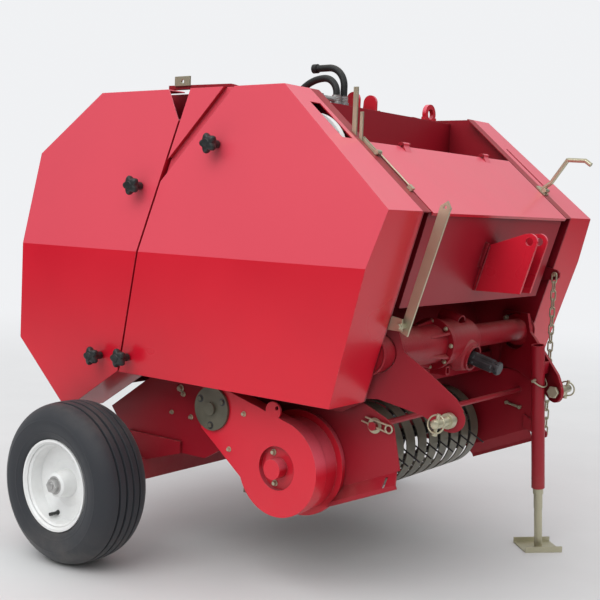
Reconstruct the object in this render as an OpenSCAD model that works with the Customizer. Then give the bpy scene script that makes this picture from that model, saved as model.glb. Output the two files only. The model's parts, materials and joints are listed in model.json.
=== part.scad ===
// Compact mounted round baler: a fixed front half and a hinged rear half round
// a roller chamber, a tined pick-up in front of it, two wheels, a three point
// hitch and a front stand.
// X points forward, Y to the machine's left, Z up, and the ground is z = 0.

/* [Body] */
// Height of the top edge of the side covers
body_top = 1196; // [1160:2:1230]
// Height of the lower edge of the front covers
body_low = 483; // [465:1:500]
// Outer width over the two frame side plates
frame_w = 800; // [760:5:840]
// Thickness of the frame side plates
plate_t = 5; // [4:0.5:7]
// Thickness of the cover sheets
sheet_t = 3; // [2:0.5:4]
// Depth of the covers outside the side plates, at their crease
cover_depth = 158; // [145:1:175]
// Height of the crease that runs along the covers
crease_z = 795; // [770:5:820]
// Foremost point of the covers
nose_x = 543; // [520:1:565]
// Height of the foremost point of the covers
nose_z = 920; // [900:2:940]
// Rearmost point of the tailgate
tail_x = 643; // [620:1:665]
// Clear gap between the two halves along their split
split_gap = 6; // [5:0.5:8]

/* [Bale chamber] */
// Height of the axis of the bale chamber
chamber_z = 810; // [795:1:825]
// Radius of the ring on which the roller axes lie
ring_r = 300; // [285:1:310]
// Diameter of a chamber roller
roller_d = 89; // [76:1:100]

/* [Wheels] */
// Outer diameter of a tyre
tyre_d = 410; // [395:1:430]
// Width of a tyre
tyre_w = 165; // [150:1:170]
// Diameter of a wheel's rim flange
rim_d = 231; // [220:1:240]
// Distance between the middle planes of the two wheels
track_w = 1246; // [1242:1:1300]
// Diameter of a stub axle
axle_d = 30; // [25:1:36]

/* [Pick-up] */
// Outer radius of the stripper bands
band_r = 115; // [105:1:122]
// Radius of the circle that the tine tips follow
tine_r = 161; // [150:1:166]
// Distance from one stripper band to the next
band_pitch = 57.5; // [54:0.5:58]
// Width of a stripper band
band_w = 41; // [38:1:44]
// Diameter of a spring tine
tine_d = 4.5; // [4:0.5:5]
// How far the pick-up's side plates stand inside the frame's outer faces
pickup_in = 24; // [17:1:30]

/* [Hitch] */
// Distance between the two lower link brackets at the hitch pins
link_span = 575; // [560:5:600]
// Diameter of a lower hitch pin
link_pin_d = 22; // [20:0.5:25]
// Height of the lower hitch pins
link_z = 452; // [440:1:465]
// Height of the top link bore
top_link_z = 858; // [840:2:870]
// Diameter of the top link bore
top_bore_d = 19.5; // [16:0.5:22]
// Clear gap between the two top link plates
top_gap = 48; // [44:1:56]
// Diameter of the drive stub
pto_d = 35; // [30:1:38]

/* [Front stand] */
// Outer diameter of the stand's sleeve
sleeve_d = 36; // [34:1:42]
// Wall thickness of the stand's sleeve
sleeve_t = 3.5; // [3:0.25:4]
// Length of the stand's foot
foot_l = 106; // [90:2:120]
// Width of the stand's foot
foot_w = 92; // [80:2:104]

/* [Hidden] */
$fn = 64;

red = [0.70, 0.05, 0.09];
dark_red = [0.42, 0.03, 0.06];
zinc = [0.72, 0.66, 0.48];
black = [0.07, 0.07, 0.08];
steel = [0.55, 0.55, 0.53];
olive = [0.38, 0.37, 0.31];
white = [0.90, 0.90, 0.91];

// Half widths of the two frame side plates
fy = frame_w / 2;
fi = fy - plate_t;
cover_half = fy + cover_depth;

// Radial play of a running fit, and the radius of the tailgate's hinge pins
fit = 0.05;
hinge_r = 12;

// Lean of the covers above and below the crease
lean_up = 0.155;
lean_low = 0.07;

// The split between the halves runs from the hinge down to the lower edge
hinge_x = -90;
hinge_z = body_top - 79;
split_low_x = -253;
split_len = norm([hinge_x - split_low_x, hinge_z - body_low]);
split_u = [hinge_x - split_low_x, hinge_z - body_low] / split_len;
split_n = [split_u[1], -split_u[0]];
chamber_x = hinge_x + (chamber_z - hinge_z) * split_u[0] / split_u[1];

// Corner points of the side profile, as [x, z]
pt_hinge = [hinge_x, hinge_z];
pt_split = [split_low_x, body_low];
pt_v_front = [hinge_x + 23, body_top];
pt_v_rear = [hinge_x - 50, body_top];
pt_crown = [nose_x - 320, body_top];
pt_nose = [nose_x, nose_z];
pt_chin = [nose_x - 132, body_low];
pt_back_top = [-tail_x + 263, body_top];
pt_back = [-tail_x + 53, nose_z + 119];
pt_back_low = [-tail_x, body_low + 51];
pt_tail = [-tail_x + 181, body_low - 128];

// Unit vector down the slanted front, and the one that points out of it
slant_u = (pt_nose - pt_crown) / norm(pt_nose - pt_crown);
slant_n = [-slant_u[1], slant_u[0]];
slant_a = atan2(slant_u[1], slant_u[0]);

// Point on the slanted front, s mm down from its top edge and h mm above it
function slant(s, h = 0) = pt_crown + slant_u * s + slant_n * h;
// Point of the slanted front's surface above x
function slant_at(x) = [x, pt_crown[1] + (x - pt_crown[0]) * slant_u[1] / slant_u[0]];

// Where two lines meet, each given by a point and a direction
function meet(p, u, q, v) =
    p + u * (((q - p)[0] * v[1] - (q - p)[1] * v[0]) / (u[0] * v[1] - u[1] * v[0]));

// Outline p, which runs clockwise seen from -Y, moved inward by d on every edge;
// open edges, given by their number, move outward by 20 instead
function edge_in(p, i, d) =
    let (a = p[i], b = p[(i + 1) % len(p)], u = (b - a) / norm(b - a))
    [a + [u[1], -u[0]] * d, u];
function inset(p, d, open = []) =
    [for (i = [0 : len(p) - 1])
        let (j = (i + len(p) - 1) % len(p),
             e = edge_in(p, j, len(search(j, open)) > 0 ? -20 : d),
             f = edge_in(p, i, len(search(i, open)) > 0 ? -20 : d))
        meet(e[0], e[1], f[0], f[1])];

// Outline in the X-Z plane made solid from y0 to y1
module slab(p, y0, y1) {
    translate([0, y1, 0]) rotate([90, 0, 0]) linear_extrude(y1 - y0) polygon(p);
}

// Cylinder along Y at [x, z]
module rod_y(c, r, y0, y1) {
    translate([c[0], y1, c[1]]) rotate([90, 0, 0]) cylinder(r = r, h = y1 - y0);
}

// Cylinder along X from x0 to x1
module rod_x(x0, x1, y, z, r) {
    translate([x0, y, z]) rotate([0, 90, 0]) cylinder(r = r, h = x1 - x0);
}

// Straight round bar between two points
module bar(a, b, r) {
    d = b - a;
    translate(a) rotate([0, acos(d[2] / norm(d)), atan2(d[1], d[0])])
        cylinder(r = r, h = norm(d), $fn = 24);
}

module left() { mirror([0, 1, 0]) children(); }

// Half width of the covers at height z
function cover_y(z) =
    cover_half - (z > crease_z ? lean_up * (z - crease_z) : lean_low * (crease_z - z));

// Everything inside the outer cover surfaces of the right side, less t
module under_cover(t) {
    translate([-900, 0, 0]) rotate([90, 0, 90]) linear_extrude(1800)
        polygon([[0, 0], [-cover_y(0) + t, 0], [-cover_half + t, crease_z],
                 [-cover_y(1400) + t, 1400], [0, 1400]]);
}

// Deep sheet pan with an outer face that leans in above and below its crease
module pan(p, open = []) {
    difference() {
        intersection() { slab(p, -700, -fy); under_cover(0); }
        intersection() { slab(inset(p, sheet_t, open), -700, -fy + 1); under_cover(sheet_t); }
    }
}

// Outlines of the covers
slot_top = [pt_v_front[0] + 107, body_top];
slot_low = meet([slot_top[0] + 34, body_top], [-185, -207], pt_hinge, split_u);
front_split = split_n * split_gap / 2;
front_outline = [pt_split + split_n * split_gap / 2 + split_u * 2, slot_low + front_split,
    [slot_top[0] + 34, body_top], pt_crown, pt_nose, pt_chin];
corner_low = meet(slot_top, [-185, -207], pt_hinge, split_u);
corner_outline = [corner_low + front_split, pt_hinge + front_split, pt_v_front, slot_top];
rear_outline = [pt_split - front_split + split_u * 2, pt_tail, pt_back_low, pt_back,
    pt_back_top, pt_v_rear, pt_hinge - front_split];

// Outline of the fixed side plates: the front covers' own, and the leg below it
// that carries the axle and the pick-up
frame_outline = [
    pt_split + front_split + [-4, -16], pt_split + front_split + split_u * 2,
    pt_hinge + front_split, pt_v_front, pt_crown, pt_nose, pt_chin, [pt_chin[0] - 60, 452],
    [150, 448], [40, 330], [-70, 268], [-345, 268], [-420, 355]];

module frame_side() {
    color(dark_red) {
        difference() {
            slab(frame_outline, -fy, -fi);
            rod_y(pt_hinge, hinge_r + fit, -fy - 1, -fi + 1);
        }
        // Flange folded inward along the slanted front
        slab([slant(0, 0), slant(norm(pt_nose - pt_crown), 0),
              slant(norm(pt_nose - pt_crown), -sheet_t), slant(0, -sheet_t)], -fi, -fi + 30);
    }
}
module frame_side_right() { frame_side(); }
module frame_side_left() { left() frame_side(); }

// Top and lower edge of the long bar that lies above the covers
bar_z = body_top + 19;
bar_low = body_top + 8;

// Hinge bracket: web, ear round the hinge pin and the long bar above the covers
module hinge_bracket() {
    color(dark_red) {
        slab([[hinge_x + 4, hinge_z - 26], [hinge_x + 58, hinge_z - 26],
              [hinge_x + 108, hinge_z + 30], [hinge_x + 108, bar_low],
              [pt_v_front[0] + 14, bar_low]], -fy - 27, -fy - 19);
        slab([[-204, bar_low], [-204, bar_z], [5, bar_z - 3], [36, bar_low]],
             -fy - 31, -fy - 19);
        rod_y(pt_hinge, 22, -fy - 27, -fy - 19);
        // Spacers that stand the web off the side plate
        for (p = [[46, -12], [88, 40]]) rod_y(pt_hinge + p, 9, -fy - 19, -fy);
    }
}
module hinge_brackets() { hinge_bracket(); left() hinge_bracket(); }

// Hinge pin of the tailgate, and the hook plate that stands on the long bar
module hinge_pin() {
    color(zinc) {
        rod_y(pt_hinge, hinge_r, -fy - 19, -fi);
        difference() {
            slab([[-179, bar_z - 2.9], [-179, bar_z + 21], [-128, bar_z + 21],
                  [-128, bar_z - 2.9]], -fy - 36, -fy - 31);
            rod_y([-152, bar_z + 8], 5, -fy - 40, -fy - 30);
        }
    }
}
module hinge_pins() { hinge_pin(); left() hinge_pin(); }

// Square tube along Y between the two side plates
module cross_tube(x, z, w) {
    translate([x - w / 2, -fi, z - w / 2]) difference() {
        cube([w, 2 * fi, w]);
        translate([4, -1, 4]) cube([w - 8, 2 * fi + 2, w - 8]);
    }
}
module cross_members() {
    color(dark_red) {
        cross_tube(-330, 300, 50);
        cross_tube(300, 500, 50);
        cross_tube(200, 740, 50);
        // Sheet behind the gearbox
        slab([[225, 716], [225, 719], [318, 525.5], [315, 525.5]], -fi, fi);
    }
}

// Front face of the wall behind the lid's recess, the height of the sheet over the
// chamber, and the height of the recess's floor
wall_x = 150;
sheet_z = body_top - 11;
recess_z = sheet_z - 200;
module top_cross_plate() {
    color(dark_red) {
        // Flat sheet, wall and floor, bent from one piece
        slab([[hinge_x + 60, sheet_z], [wall_x, sheet_z], [wall_x, recess_z + 3],
              [box_x(recess_z + 3), recess_z + 3], [box_x(recess_z), recess_z],
              [wall_x - 3, recess_z], [wall_x - 3, sheet_z - 3], [hinge_x + 60, sheet_z - 3]],
             -fi, fi);
    }
}

// Lifting eye on the wall, and the clevis of the hose holder beside it
eye = [wall_x - 9, 283, sheet_z + 18];
eye_r = 14.5;
holder = [130, sheet_z + 21];
module lifting_eye() {
    color(red) {
        difference() {
            union() {
                rod_x(eye[0] - 6, eye[0] + 6, eye[1], eye[2], 28);
                translate([eye[0] - 6, eye[1] - 32, sheet_z]) cube([12, 64, 9]);
            }
            rod_x(eye[0] - 10, eye[0] + 10, eye[1], eye[2], eye_r);
            translate([eye[0] - 20, eye[1] - 40, sheet_z - 40]) cube([40, 80, 40]);
        }
        // Two round topped lugs
        for (y = [-90, -10]) difference() {
            union() {
                rod_y(holder, 20, y, y + 8);
                slab([[108, sheet_z], [110, holder[1]], [150, holder[1]], [150, sheet_z]], y, y + 8);
            }
            slab([[90, sheet_z - 30], [90, sheet_z], [170, sheet_z], [170, sheet_z - 30]], y - 1, y + 9);
        }
    }
}

// The lid: its two edges down the slant, its half width, and its hinges' places,
// pin radius and height above the sheet
lid_s0 = 186;
lid_s1 = norm(pt_nose - pt_crown) + 4;
lid_half = fi - 35;
hinge_ys = [-205, 205];
lid_pin = 2.5;
lid_h = 6;

// X of the box's inclined front panel and of its back wall at height z
panel_lean = (pt_nose[0] - pt_chin[0]) / (pt_nose[1] - pt_chin[1]);
function panel_x(z) = nose_x - 8 - panel_lean * (nose_z - z);
box_low = nose_z - 220;
box_back = [pt_crown[0] + 7, nose_z - 150];
box_rim = slant(lid_s0 + 3, -3);
function box_x(z) =
    box_back[0] + (z - box_back[1]) * (box_rim[0] - box_back[0]) / (box_rim[1] - box_back[1]);
module twine_box() {
    color(dark_red) {
        difference() {
            slab([box_rim, meet(slant(0, -3), slant_u, [panel_x(0), 0], [panel_lean, 1]),
                  [panel_x(box_low), box_low], box_back], -lid_half, lid_half);
            slab([slant(lid_s0 + 7, 30), [panel_x(nose_z + 40) - sheet_t, nose_z + 40],
                  [panel_x(box_low + 4) - sheet_t, box_low + 4], box_back + [18, 0]],
                 -lid_half + sheet_t, lid_half - sheet_t);
        }
        // Straps that hang the box between the side plates
        for (s = [0, 1], x = [300, 430]) mirror([0, s, 0])
            translate([x, lid_half, box_back[1]]) cube([30, fi - lid_half, 5]);
        // Upright pull strap on the front panel
        slab([[panel_x(852), 852], [panel_x(852) + 9, 849], [panel_x(790) + 9, 793],
              [panel_x(790), 790]], -48, -42);
        // Lugs and pins of the lid's two hinges
        for (y = hinge_ys) {
            for (s = [-1, 1]) translate([0, y + s * 16, 0]) {
                rod_y(slant(lid_s0, lid_h), 5, -2, 2);
                slab([slant(lid_s0 - 3, lid_h + 4), slant(lid_s0 - 2, -6), slant(lid_s0 + 6, -10),
                      slant(lid_s0 + 9, -24), slant(lid_s0 - 6, -12), slant(lid_s0 - 7, 4)], -2, 2);
            }
            rod_y(slant(lid_s0, lid_h), lid_pin, y - 16, y + 16);
        }
    }
}

module lid() {
    color(red) {
        slab([slant(lid_s0), slant(lid_s1), slant(lid_s1, -3), slant(lid_s0, -3)],
             -lid_half, lid_half);
        // Turned down front edge
        slab([slant(lid_s1, -1), slant(lid_s1 - 3, -1), slant(lid_s1 - 3, -8), slant(lid_s1, -8)],
             -lid_half, lid_half);
        // Knuckles round the hinge pins
        for (y = hinge_ys) difference() {
            union() {
                rod_y(slant(lid_s0, lid_h), lid_h - 1, y - 13, y + 13);
                slab([slant(lid_s0 + 1), slant(lid_s0 + 1, lid_h + 4), slant(lid_s0 + 8, lid_h - 1),
                      slant(lid_s0 + 22)], y - 13, y + 13);
            }
            rod_y(slant(lid_s0, lid_h), lid_pin + fit, y - 20, y + 20);
        }
    }
}

top_x = nose_x + 82;
module top_link_bracket() {
    color(red) for (s = [-1, 1]) translate([0, s * (top_gap / 2 + 4), 0]) difference() {
        union() {
            slab([[panel_x(top_link_z - 128), top_link_z - 128],
                  [panel_x(top_link_z - 15), top_link_z - 15],
                  [top_x - 12, top_link_z + 19], [top_x + 8, top_link_z + 17],
                  [top_x + 18, top_link_z - 4], [top_x - 20, top_link_z - 128]], -4, 4);
            rod_y([top_x - 2, top_link_z], 20, -4, 4);
        }
        rod_y([top_x - 2, top_link_z], top_bore_d / 2, -5, 5);
    }
}

// Lower link bracket: a plate toed in toward the hitch pin, with a round nose
link_root = [363, -fi];
link_x = 578;
pin_y = -link_span / 2;
link_toe = (fi + pin_y) / (link_x - link_root[0]);
link_low = 486;
module link_bracket() {
    a = atan(link_toe);
    k = 1 / cos(a);
    color(dark_red) difference() {
        translate([link_root[0], link_root[1], 0]) rotate([0, 0, a]) {
            slab([for (p = [[0, link_low], [64, link_low + 1], [154, link_low - 29],
                            [link_x - 375, link_z - 28], [link_x - 340, link_z + 20],
                            [223, 499], [170, 550], [112, 600], [98, 650], [0, 650]])
                  [p[0] * k, p[1]]], 0, 8);
            rod_y([(link_x - link_root[0]) * k, link_z], 30, 0, 8);
        }
        rod_y([link_x, link_z], link_pin_d / 2 + fit, -fy, 0);
        // Way through for the gearbox tube
        rod_y(gear_c, 51, -fy, 0);
    }
}
module link_bracket_right() { link_bracket(); }
module link_bracket_left() { left() link_bracket(); }

// Hitch pin with its collar outside the bracket and its nut inside
module link_pin() {
    color(zinc) {
        rod_y([link_x, link_z], link_pin_d / 2, pin_y - 82, pin_y + 24);
        rod_y([link_x, link_z], 16, pin_y + 18, pin_y + 28);
        rod_y([link_x, link_z], 18, pin_y - 26, pin_y - 9.1);
    }
}
module lower_link_pins() { link_pin(); left() link_pin(); }

// Axis of the gearbox's cross tubes, the centre of its input neck's lip on the middle
// plane, and the neck's slope down toward the front
gear_c = [408, 594];
neck = [474, 0, 556];
neck_a = 15;
// Radius of the bore that the drive stub turns in, and its depth
bore_r = 29;
bore_depth = 45;
// Depth of the stub's collar behind the lip, and the stub's length before it
collar = 26;
stub_l = 77;
module along_neck(p) { translate(p) rotate([0, 90 + neck_a, 0]) children(); }
module gearbox() {
    spigot = [433, 0, 642];
    color(red) difference() {
        union() {
            // Long tube to the right side plate, its flange, the body, and the left arm
            rod_y(gear_c, 49, -fi, -105);
            rod_y(gear_c, 65, -105, -93);
            rod_y(gear_c, 58, -93, 50);
            rod_y(gear_c + [0, 4], 31, 50, fi);
            rod_y(gear_c + [0, 4], 45, fi - 12, fi);
            // Input neck with a flared root and a thin lip
            along_neck(neck) rotate_extrude() polygon([[0, -75], [48, -75], [48, -34],
                [39, -12], [34, -8], [34, 0], [0, 0]]);
            // Round housing above it
            along_neck(spigot) translate([0, 0, -60]) cylinder(r = 20, h = 60);
            // Square tube on a web below the body
            translate([390, -71, 514]) cube([46, 20, 22]);
            translate([396, -66, 530]) cube([24, 10, 16]);
        }
        along_neck(neck) translate([0, 0, -bore_depth]) cylinder(r = bore_r, h = bore_depth + 5);
        along_neck(spigot) translate([0, 0, -40]) cylinder(r = 16.5, h = 45);
        translate([404, -67, 518]) cube([40, 12, 14]);
    }
}
module pto_stub() {
    color(black) along_neck(neck) translate([0, 0, 0.3 - bore_depth]) {
        cylinder(d = pto_d, h = bore_depth + stub_l - 0.3);
        cylinder(r = bore_r - fit, h = bore_depth - collar - 0.3);
    }
}

// Front cover with a window in its slanted face, from s0 to s1 down the slant and
// from y0 to y1 outside the side plate
module front_cover(s0, s1, y0, y1) {
    color(red) difference() {
        pan(front_outline);
        slab([slant(s0, 20), slant(s1, 20), slant(s1, -20), slant(s0, -20)], -fy - y1, -fy - y0);
        for (c = front_studs) rod_y(c, 6, -600, -fy);
    }
}
module front_cover_right() { front_cover(58, 182, 17, 56); }
module front_cover_left() { left() front_cover(127, 313, 28, 37); }

// Corner plate, and the strip set back in the slot between it and the front cover
slot_depth = 12;
module corner_plate() {
    color(red) {
        difference() {
            pan(corner_outline, [1]);
            // Room for the hinge bracket's web
            slab([[-400, hinge_z - 60], [200, hinge_z - 60], [200, 1400], [-400, 1400]],
                 -fy - 36, -fy + 1);
        }
        intersection() {
            slab([corner_low + front_split, slot_top, [slot_top[0] + 34, body_top],
                  slot_low + front_split], -700, -fy);
            difference() {
                under_cover(slot_depth);
                under_cover(slot_depth + sheet_t);
            }
        }
    }
}
module corner_plates() { corner_plate(); left() corner_plate(); }

// Star knob on a stud that starts at the side plate
module knob(c, y) {
    rod_y(c, 5, -y - 12, -fy);
    difference() {
        union() {
            rod_y(c, 10, -y - 30, -y - 3);
            rod_y(c, 17, -y - 44, -y - 26);
            for (a = [0 : 72 : 288])
                rod_y(c + 17 * [cos(a), sin(a)], 8, -y - 43, -y - 27);
            rod_y(c, 9, -y - 47, -y - 44);
        }
        rod_y(c, 5, -y - 12, 0);
    }
}
front_studs = [[47, 1059], [-214, 526]];
rear_studs = [[-190, 957], [-314, 520]];
module front_knobs() {
    color(black) {
        for (c = front_studs) knob(c, cover_y(c[1]));
        left() for (c = front_studs) knob(c, cover_y(c[1]));
    }
}

disc_c = [260, 1039];
module side_disc() {
    color(white) {
        rod_y(disc_c, 97, -fy - 44, -fy - 28);
        rod_y(disc_c, 16, -fy - 28, -fy);
    }
}

// Levers that stand on the right rail, and the fork that leads down from them
module control_levers() {
    color(zinc) {
        slab([slant_at(338), [338, body_top], [350, body_top], slant_at(350)], -fi + 7, -fi + 11);
        slab([slant_at(356), [356, body_top - 56], [364, body_top - 56], slant_at(364)],
             -fi + 11, -fi + 15);
        for (y = [15, 24]) slab([slant(176), slant(176, 6), slant(236, 6), slant(236)],
                                -fi + y, -fi + y + 3);
        rod_y(slant(232, 6), 6, -fi + 12, -fi + 29.5);
        // Thin rod in the gap beside the lid, and its clip
        bar([slant(232, 5)[0], -fi + 27, slant(232, 5)[1]],
            [slant(352, 5)[0], -fi + 27, slant(352, 5)[1]], 2);
        slab([slant(343), slant(343, 9), slant(357, 9), slant(357)], -fi + 20, -fi + 30);
    }
}

// Flat bar that shows how full the chamber is, on a lug of the side plate
module indicator_bar() {
    out = -fi + 22;
    color(zinc) {
        difference() {
            slab([[484, 650], [504, 640], [598, 928], [590, 944], [572, 934]], out - 5, out);
            rod_y([584, 930], 4, out - 7, out + 2);
        }
        rod_y([494, 664], 6, -fi + 5, out - 5);
        rod_y([494, 664], 9, out, out + 6);
        slab([[442, 655], [446, 690], [500, 680], [500, 652]], -fi, -fi + 5);
    }
}

// Crank on the left rail, with the bracket that its foot turns in
crank_s = 308;
module crank_handle() {
    y = fi - 14;
    foot = slant(crank_s);
    color(zinc) {
        difference() {
            bar([foot[0] - 20, y, foot[1] - 14], [foot[0] + 30, y, foot[1] + 21], 6);
            slab([slant(0), slant(500), slant(500, -60), slant(0, -60)], y - 20, y + 20);
        }
        bar([foot[0] + 29, y, foot[1] + 20], [foot[0] + 76, y, foot[1] + 86], 6);
        bar([foot[0] + 75, y, foot[1] + 84], [foot[0] + 126, y, foot[1] + 82], 6);
        translate([foot[0] + 124, y, foot[1] + 83]) rotate([0, 125, 0]) cylinder(r = 6, h = 22);
        slab([slant(crank_s - 14), slant(crank_s - 14, 4), slant(crank_s + 22, 4),
              slant(crank_s + 22)], y - 12, y + 12);
        rod_y(slant(crank_s + 12, 9), 6, y - 12, y + 12);
    }
}

// Piece of hose in the X-Z plane at y, bent about c with radius r from angle a0 to a1
hose_r = 9;
module hose_bend(c, y, r, a0, a1) {
    intersection() {
        translate([c[0], y, c[1]]) rotate([90, 0, 0])
            rotate_extrude() translate([r, 0]) circle(r = hose_r, $fn = 24);
        slab([c, c + 3 * r * [cos(a0), sin(a0)], c + 4 * r * [cos((a0 + a1) / 2), sin((a0 + a1) / 2)],
              c + 3 * r * [cos(a1), sin(a1)]], y - 20, y + 20);
    }
}

// Two hoses that rise from the sheet behind the wall: one goes back down behind the
// right cover, the other ends in a capped coupler
hose_x = 136;
near_y = -172;
far_y = -140;
module hydraulic_hoses() {
    a = [hose_x - 40, sheet_z + 27];
    b = [hose_x - 50, sheet_z + 48];
    color(black) {
        translate([hose_x, near_y, sheet_z + 22]) cylinder(r = hose_r, h = 5);
        hose_bend(a, near_y, 40, 0, 90);
        hose_bend(a - [0, 70], near_y, 110, 90, 155);
        translate([hose_x, far_y, sheet_z + 22]) cylinder(r = hose_r, h = 26);
        hose_bend(b, far_y, 50, 0, 90);
        rod_x(b[0] - 38, b[0], far_y, b[1] + 50, hose_r);
        rod_x(b[0] - 50, b[0] - 36, far_y, b[1] + 50, hose_r + 3);
    }
}
module hose_fittings() {
    color(steel) {
        for (y = [near_y, far_y]) translate([hose_x, y, sheet_z]) cylinder(r = 11, h = 22);
        // Pipe from the near hose to its elbow
        rod_y([hose_x, sheet_z + 11], 7, near_y - 70, near_y);
        translate([hose_x, near_y - 70, sheet_z]) cylinder(r = 9, h = 20);
    }
}

roller_step = 180 / 7;
split_a = atan2(split_u[1], split_u[0]);
function ring(a) = [chamber_x + ring_r * cos(a), chamber_z + ring_r * sin(a)];
module roller(c) {
    rod_y(c, roller_d / 2, -fi + 6, fi - 6);
    rod_y(c, 20, -fi, fi);
}
module front_rollers() {
    color(steel) for (i = [0, 1, 2, 3, 5, 6]) roller(ring(split_a - (i + 0.5) * roller_step));
}
feed_c = [-44, 399];
module feed_roller() {
    color(steel) {
        roller(feed_c);
        // Bearing housings outside the side plates
        for (s = [0, 1]) mirror([0, s, 0]) {
            rod_y(feed_c, 54, -fy - 10, -fy);
            rod_y(feed_c, 17, -fy - 22, -fy - 10);
        }
    }
}

// Axle beam with a gusset up to each side plate, and the two stub axles
wheel_x = -309;
wheel_z = tyre_d / 2;
beam_h = 60;
beam_half = track_w / 2 - tyre_w / 2 - 12;
module axle_beam() {
    low = wheel_z + beam_h / 2 - 4;
    color(dark_red) {
        translate([wheel_x - 30, -beam_half, wheel_z - beam_h / 2])
            cube([60, 2 * beam_half, beam_h]);
        for (s = [0, 1]) mirror([0, s, 0])
            slab([[-345, low], [-345, 300], [-150, 300], [-150, 268], [-272, low]], -fy - 8, -fy);
    }
    color(steel) for (s = [0, 1]) mirror([0, s, 0])
        rod_y([wheel_x, wheel_z], axle_d / 2, -track_w / 2 - 60, -beam_half);
}

// Half width of the rim between its flanges, and the flange's thickness
bead = tyre_w / 2 - 17;
flange = 6;
module tyre() {
    color(black) translate([wheel_x, -track_w / 2, wheel_z]) rotate([90, 0, 0])
        rotate_extrude() difference() {
            polygon([for (s = [-1, 1]) each [for (i = [0 : 6]) let (k = s < 0 ? i : 6 - i, p = [
                [rim_d / 2 - 12, bead], [rim_d / 2 + 1, bead], [rim_d / 2 + 8, bead + flange + 3],
                [rim_d / 2 + 40, tyre_w / 2], [tyre_d / 2 - 32, tyre_w / 2 - 4],
                [tyre_d / 2 - 9, tyre_w / 2 - 22], [tyre_d / 2, tyre_w / 2 - 48]][k]) [p[0], s * p[1]]]]);
            for (i = [-1.5 : 1 : 1.5]) translate([tyre_d / 2 - 7, i * 22 - 3]) square([10, 6]);
        }
}
module tyre_right() { tyre(); }
module tyre_left() { left() tyre(); }

module rim() {
    r = rim_d / 2 - 12.3;
    color(white) translate([wheel_x, -track_w / 2, wheel_z]) rotate([90, 0, 0]) difference() {
        rotate_extrude() polygon([
            [rim_d / 2, -bead - 0.3], [rim_d / 2, -bead - flange], [rim_d / 2 - 6, -bead - flange],
            [r - 5, -bead + 6], [r - 6, 16], [60, 8], [34, 12], [30, -50], [0, -50], [0, 64], [24, 64],
            [30, 60], [36, 24], [60, 20], [r - 8, 28], [r - 5, bead - 6],
            [rim_d / 2 - 6, bead + flange], [rim_d / 2, bead + flange], [rim_d / 2, bead + 0.3],
            [r, bead + 0.3], [r, -bead - 0.3]]);
        translate([0, 0, -100]) cylinder(r = axle_d / 2 + fit, h = 161);
    }
}
module rim_right() { rim(); }
module rim_left() { left() rim(); }

reel_c = [224, 308];
pi_y = fy - pickup_in;
reel_shaft = 17;
// Rails behind the tine circle that carry the stripper bands' ends
rail_x = reel_c[0] - tine_r - 22;

// Line along which the side plates' lower edge is folded outward, and its slope
fold_0 = [270, 238];
fold_1 = [500, 335];
fold_a = atan2(fold_1[1] - fold_0[1], fold_1[0] - fold_0[0]);
module pickup_side(top) {
    difference() {
        slab(concat([[rail_x - 6, fold_0[1]], [rail_x - 6, 452], [300, 474]], top,
                    [fold_1, fold_0]), -pi_y, -pi_y + 4);
        rod_y(reel_c, reel_shaft + fit, -pi_y - 1, -pi_y + 5);
    }
    // Lip that leans outward along the fold, with a slot near its front end
    difference() {
        translate([fold_0[0], -pi_y, fold_0[1]]) rotate([0, -fold_a, 0]) rotate([90, 0, 90])
            linear_extrude(norm(fold_1 - fold_0) - 9)
                polygon([[0, 1], [0, 0], [-20, -27], [-20, -37], [-17, -37], [-17, -28], [4, 0],
                         [4, 1]]);
        slab([[466, 292], [466, 314], [473, 317], [473, 295]], -pi_y - 30, -pi_y - 2);
    }
}

// Guard rod in front of the tines, with the pins that hold it, and its clips' legs
guard = [429, 428];
guard_y = pi_y + 8;
clip_leg = [guard + [-32, 8], guard + [35, -8.75]];
module pickup_sides() {
    color(dark_red) {
        difference() {
            pickup_side([[391, 477], [455, 450], [477, 435], [480, 426]]);
            // Room for the flange of the drive case's drum
            rod_y(reel_c, drum_flange + 0.2, -pi_y - 30, -pi_y);
        }
        // The left plate is higher at the front
        left() pickup_side([[340, 476], [391, 484], [468, 484], [480, 470]]);
        rod_y(guard, 7, -pi_y + 4, pi_y - 4);
        for (s = [0, 1]) mirror([0, s, 0]) {
            difference() {
                rod_y(guard, 10, -pi_y - 14, -pi_y);
                bar([clip_leg[0][0], -guard_y, clip_leg[0][1]],
                    [clip_leg[1][0], -guard_y, clip_leg[1][1]], 2.05);
            }
            // Spacers to the frame's side plates
            for (p = [[180, 455], [rail_x + 16, 400]]) rod_y(p, 12, -fi, -pi_y);
        }
    }
}

// Wire ring about [x, z] in the X-Z plane
module ring_y(c, y, r, wire) {
    translate([c[0], y, c[1]]) rotate([90, 0, 0])
        rotate_extrude() translate([r, 0]) circle(r = wire, $fn = 16);
}

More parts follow.
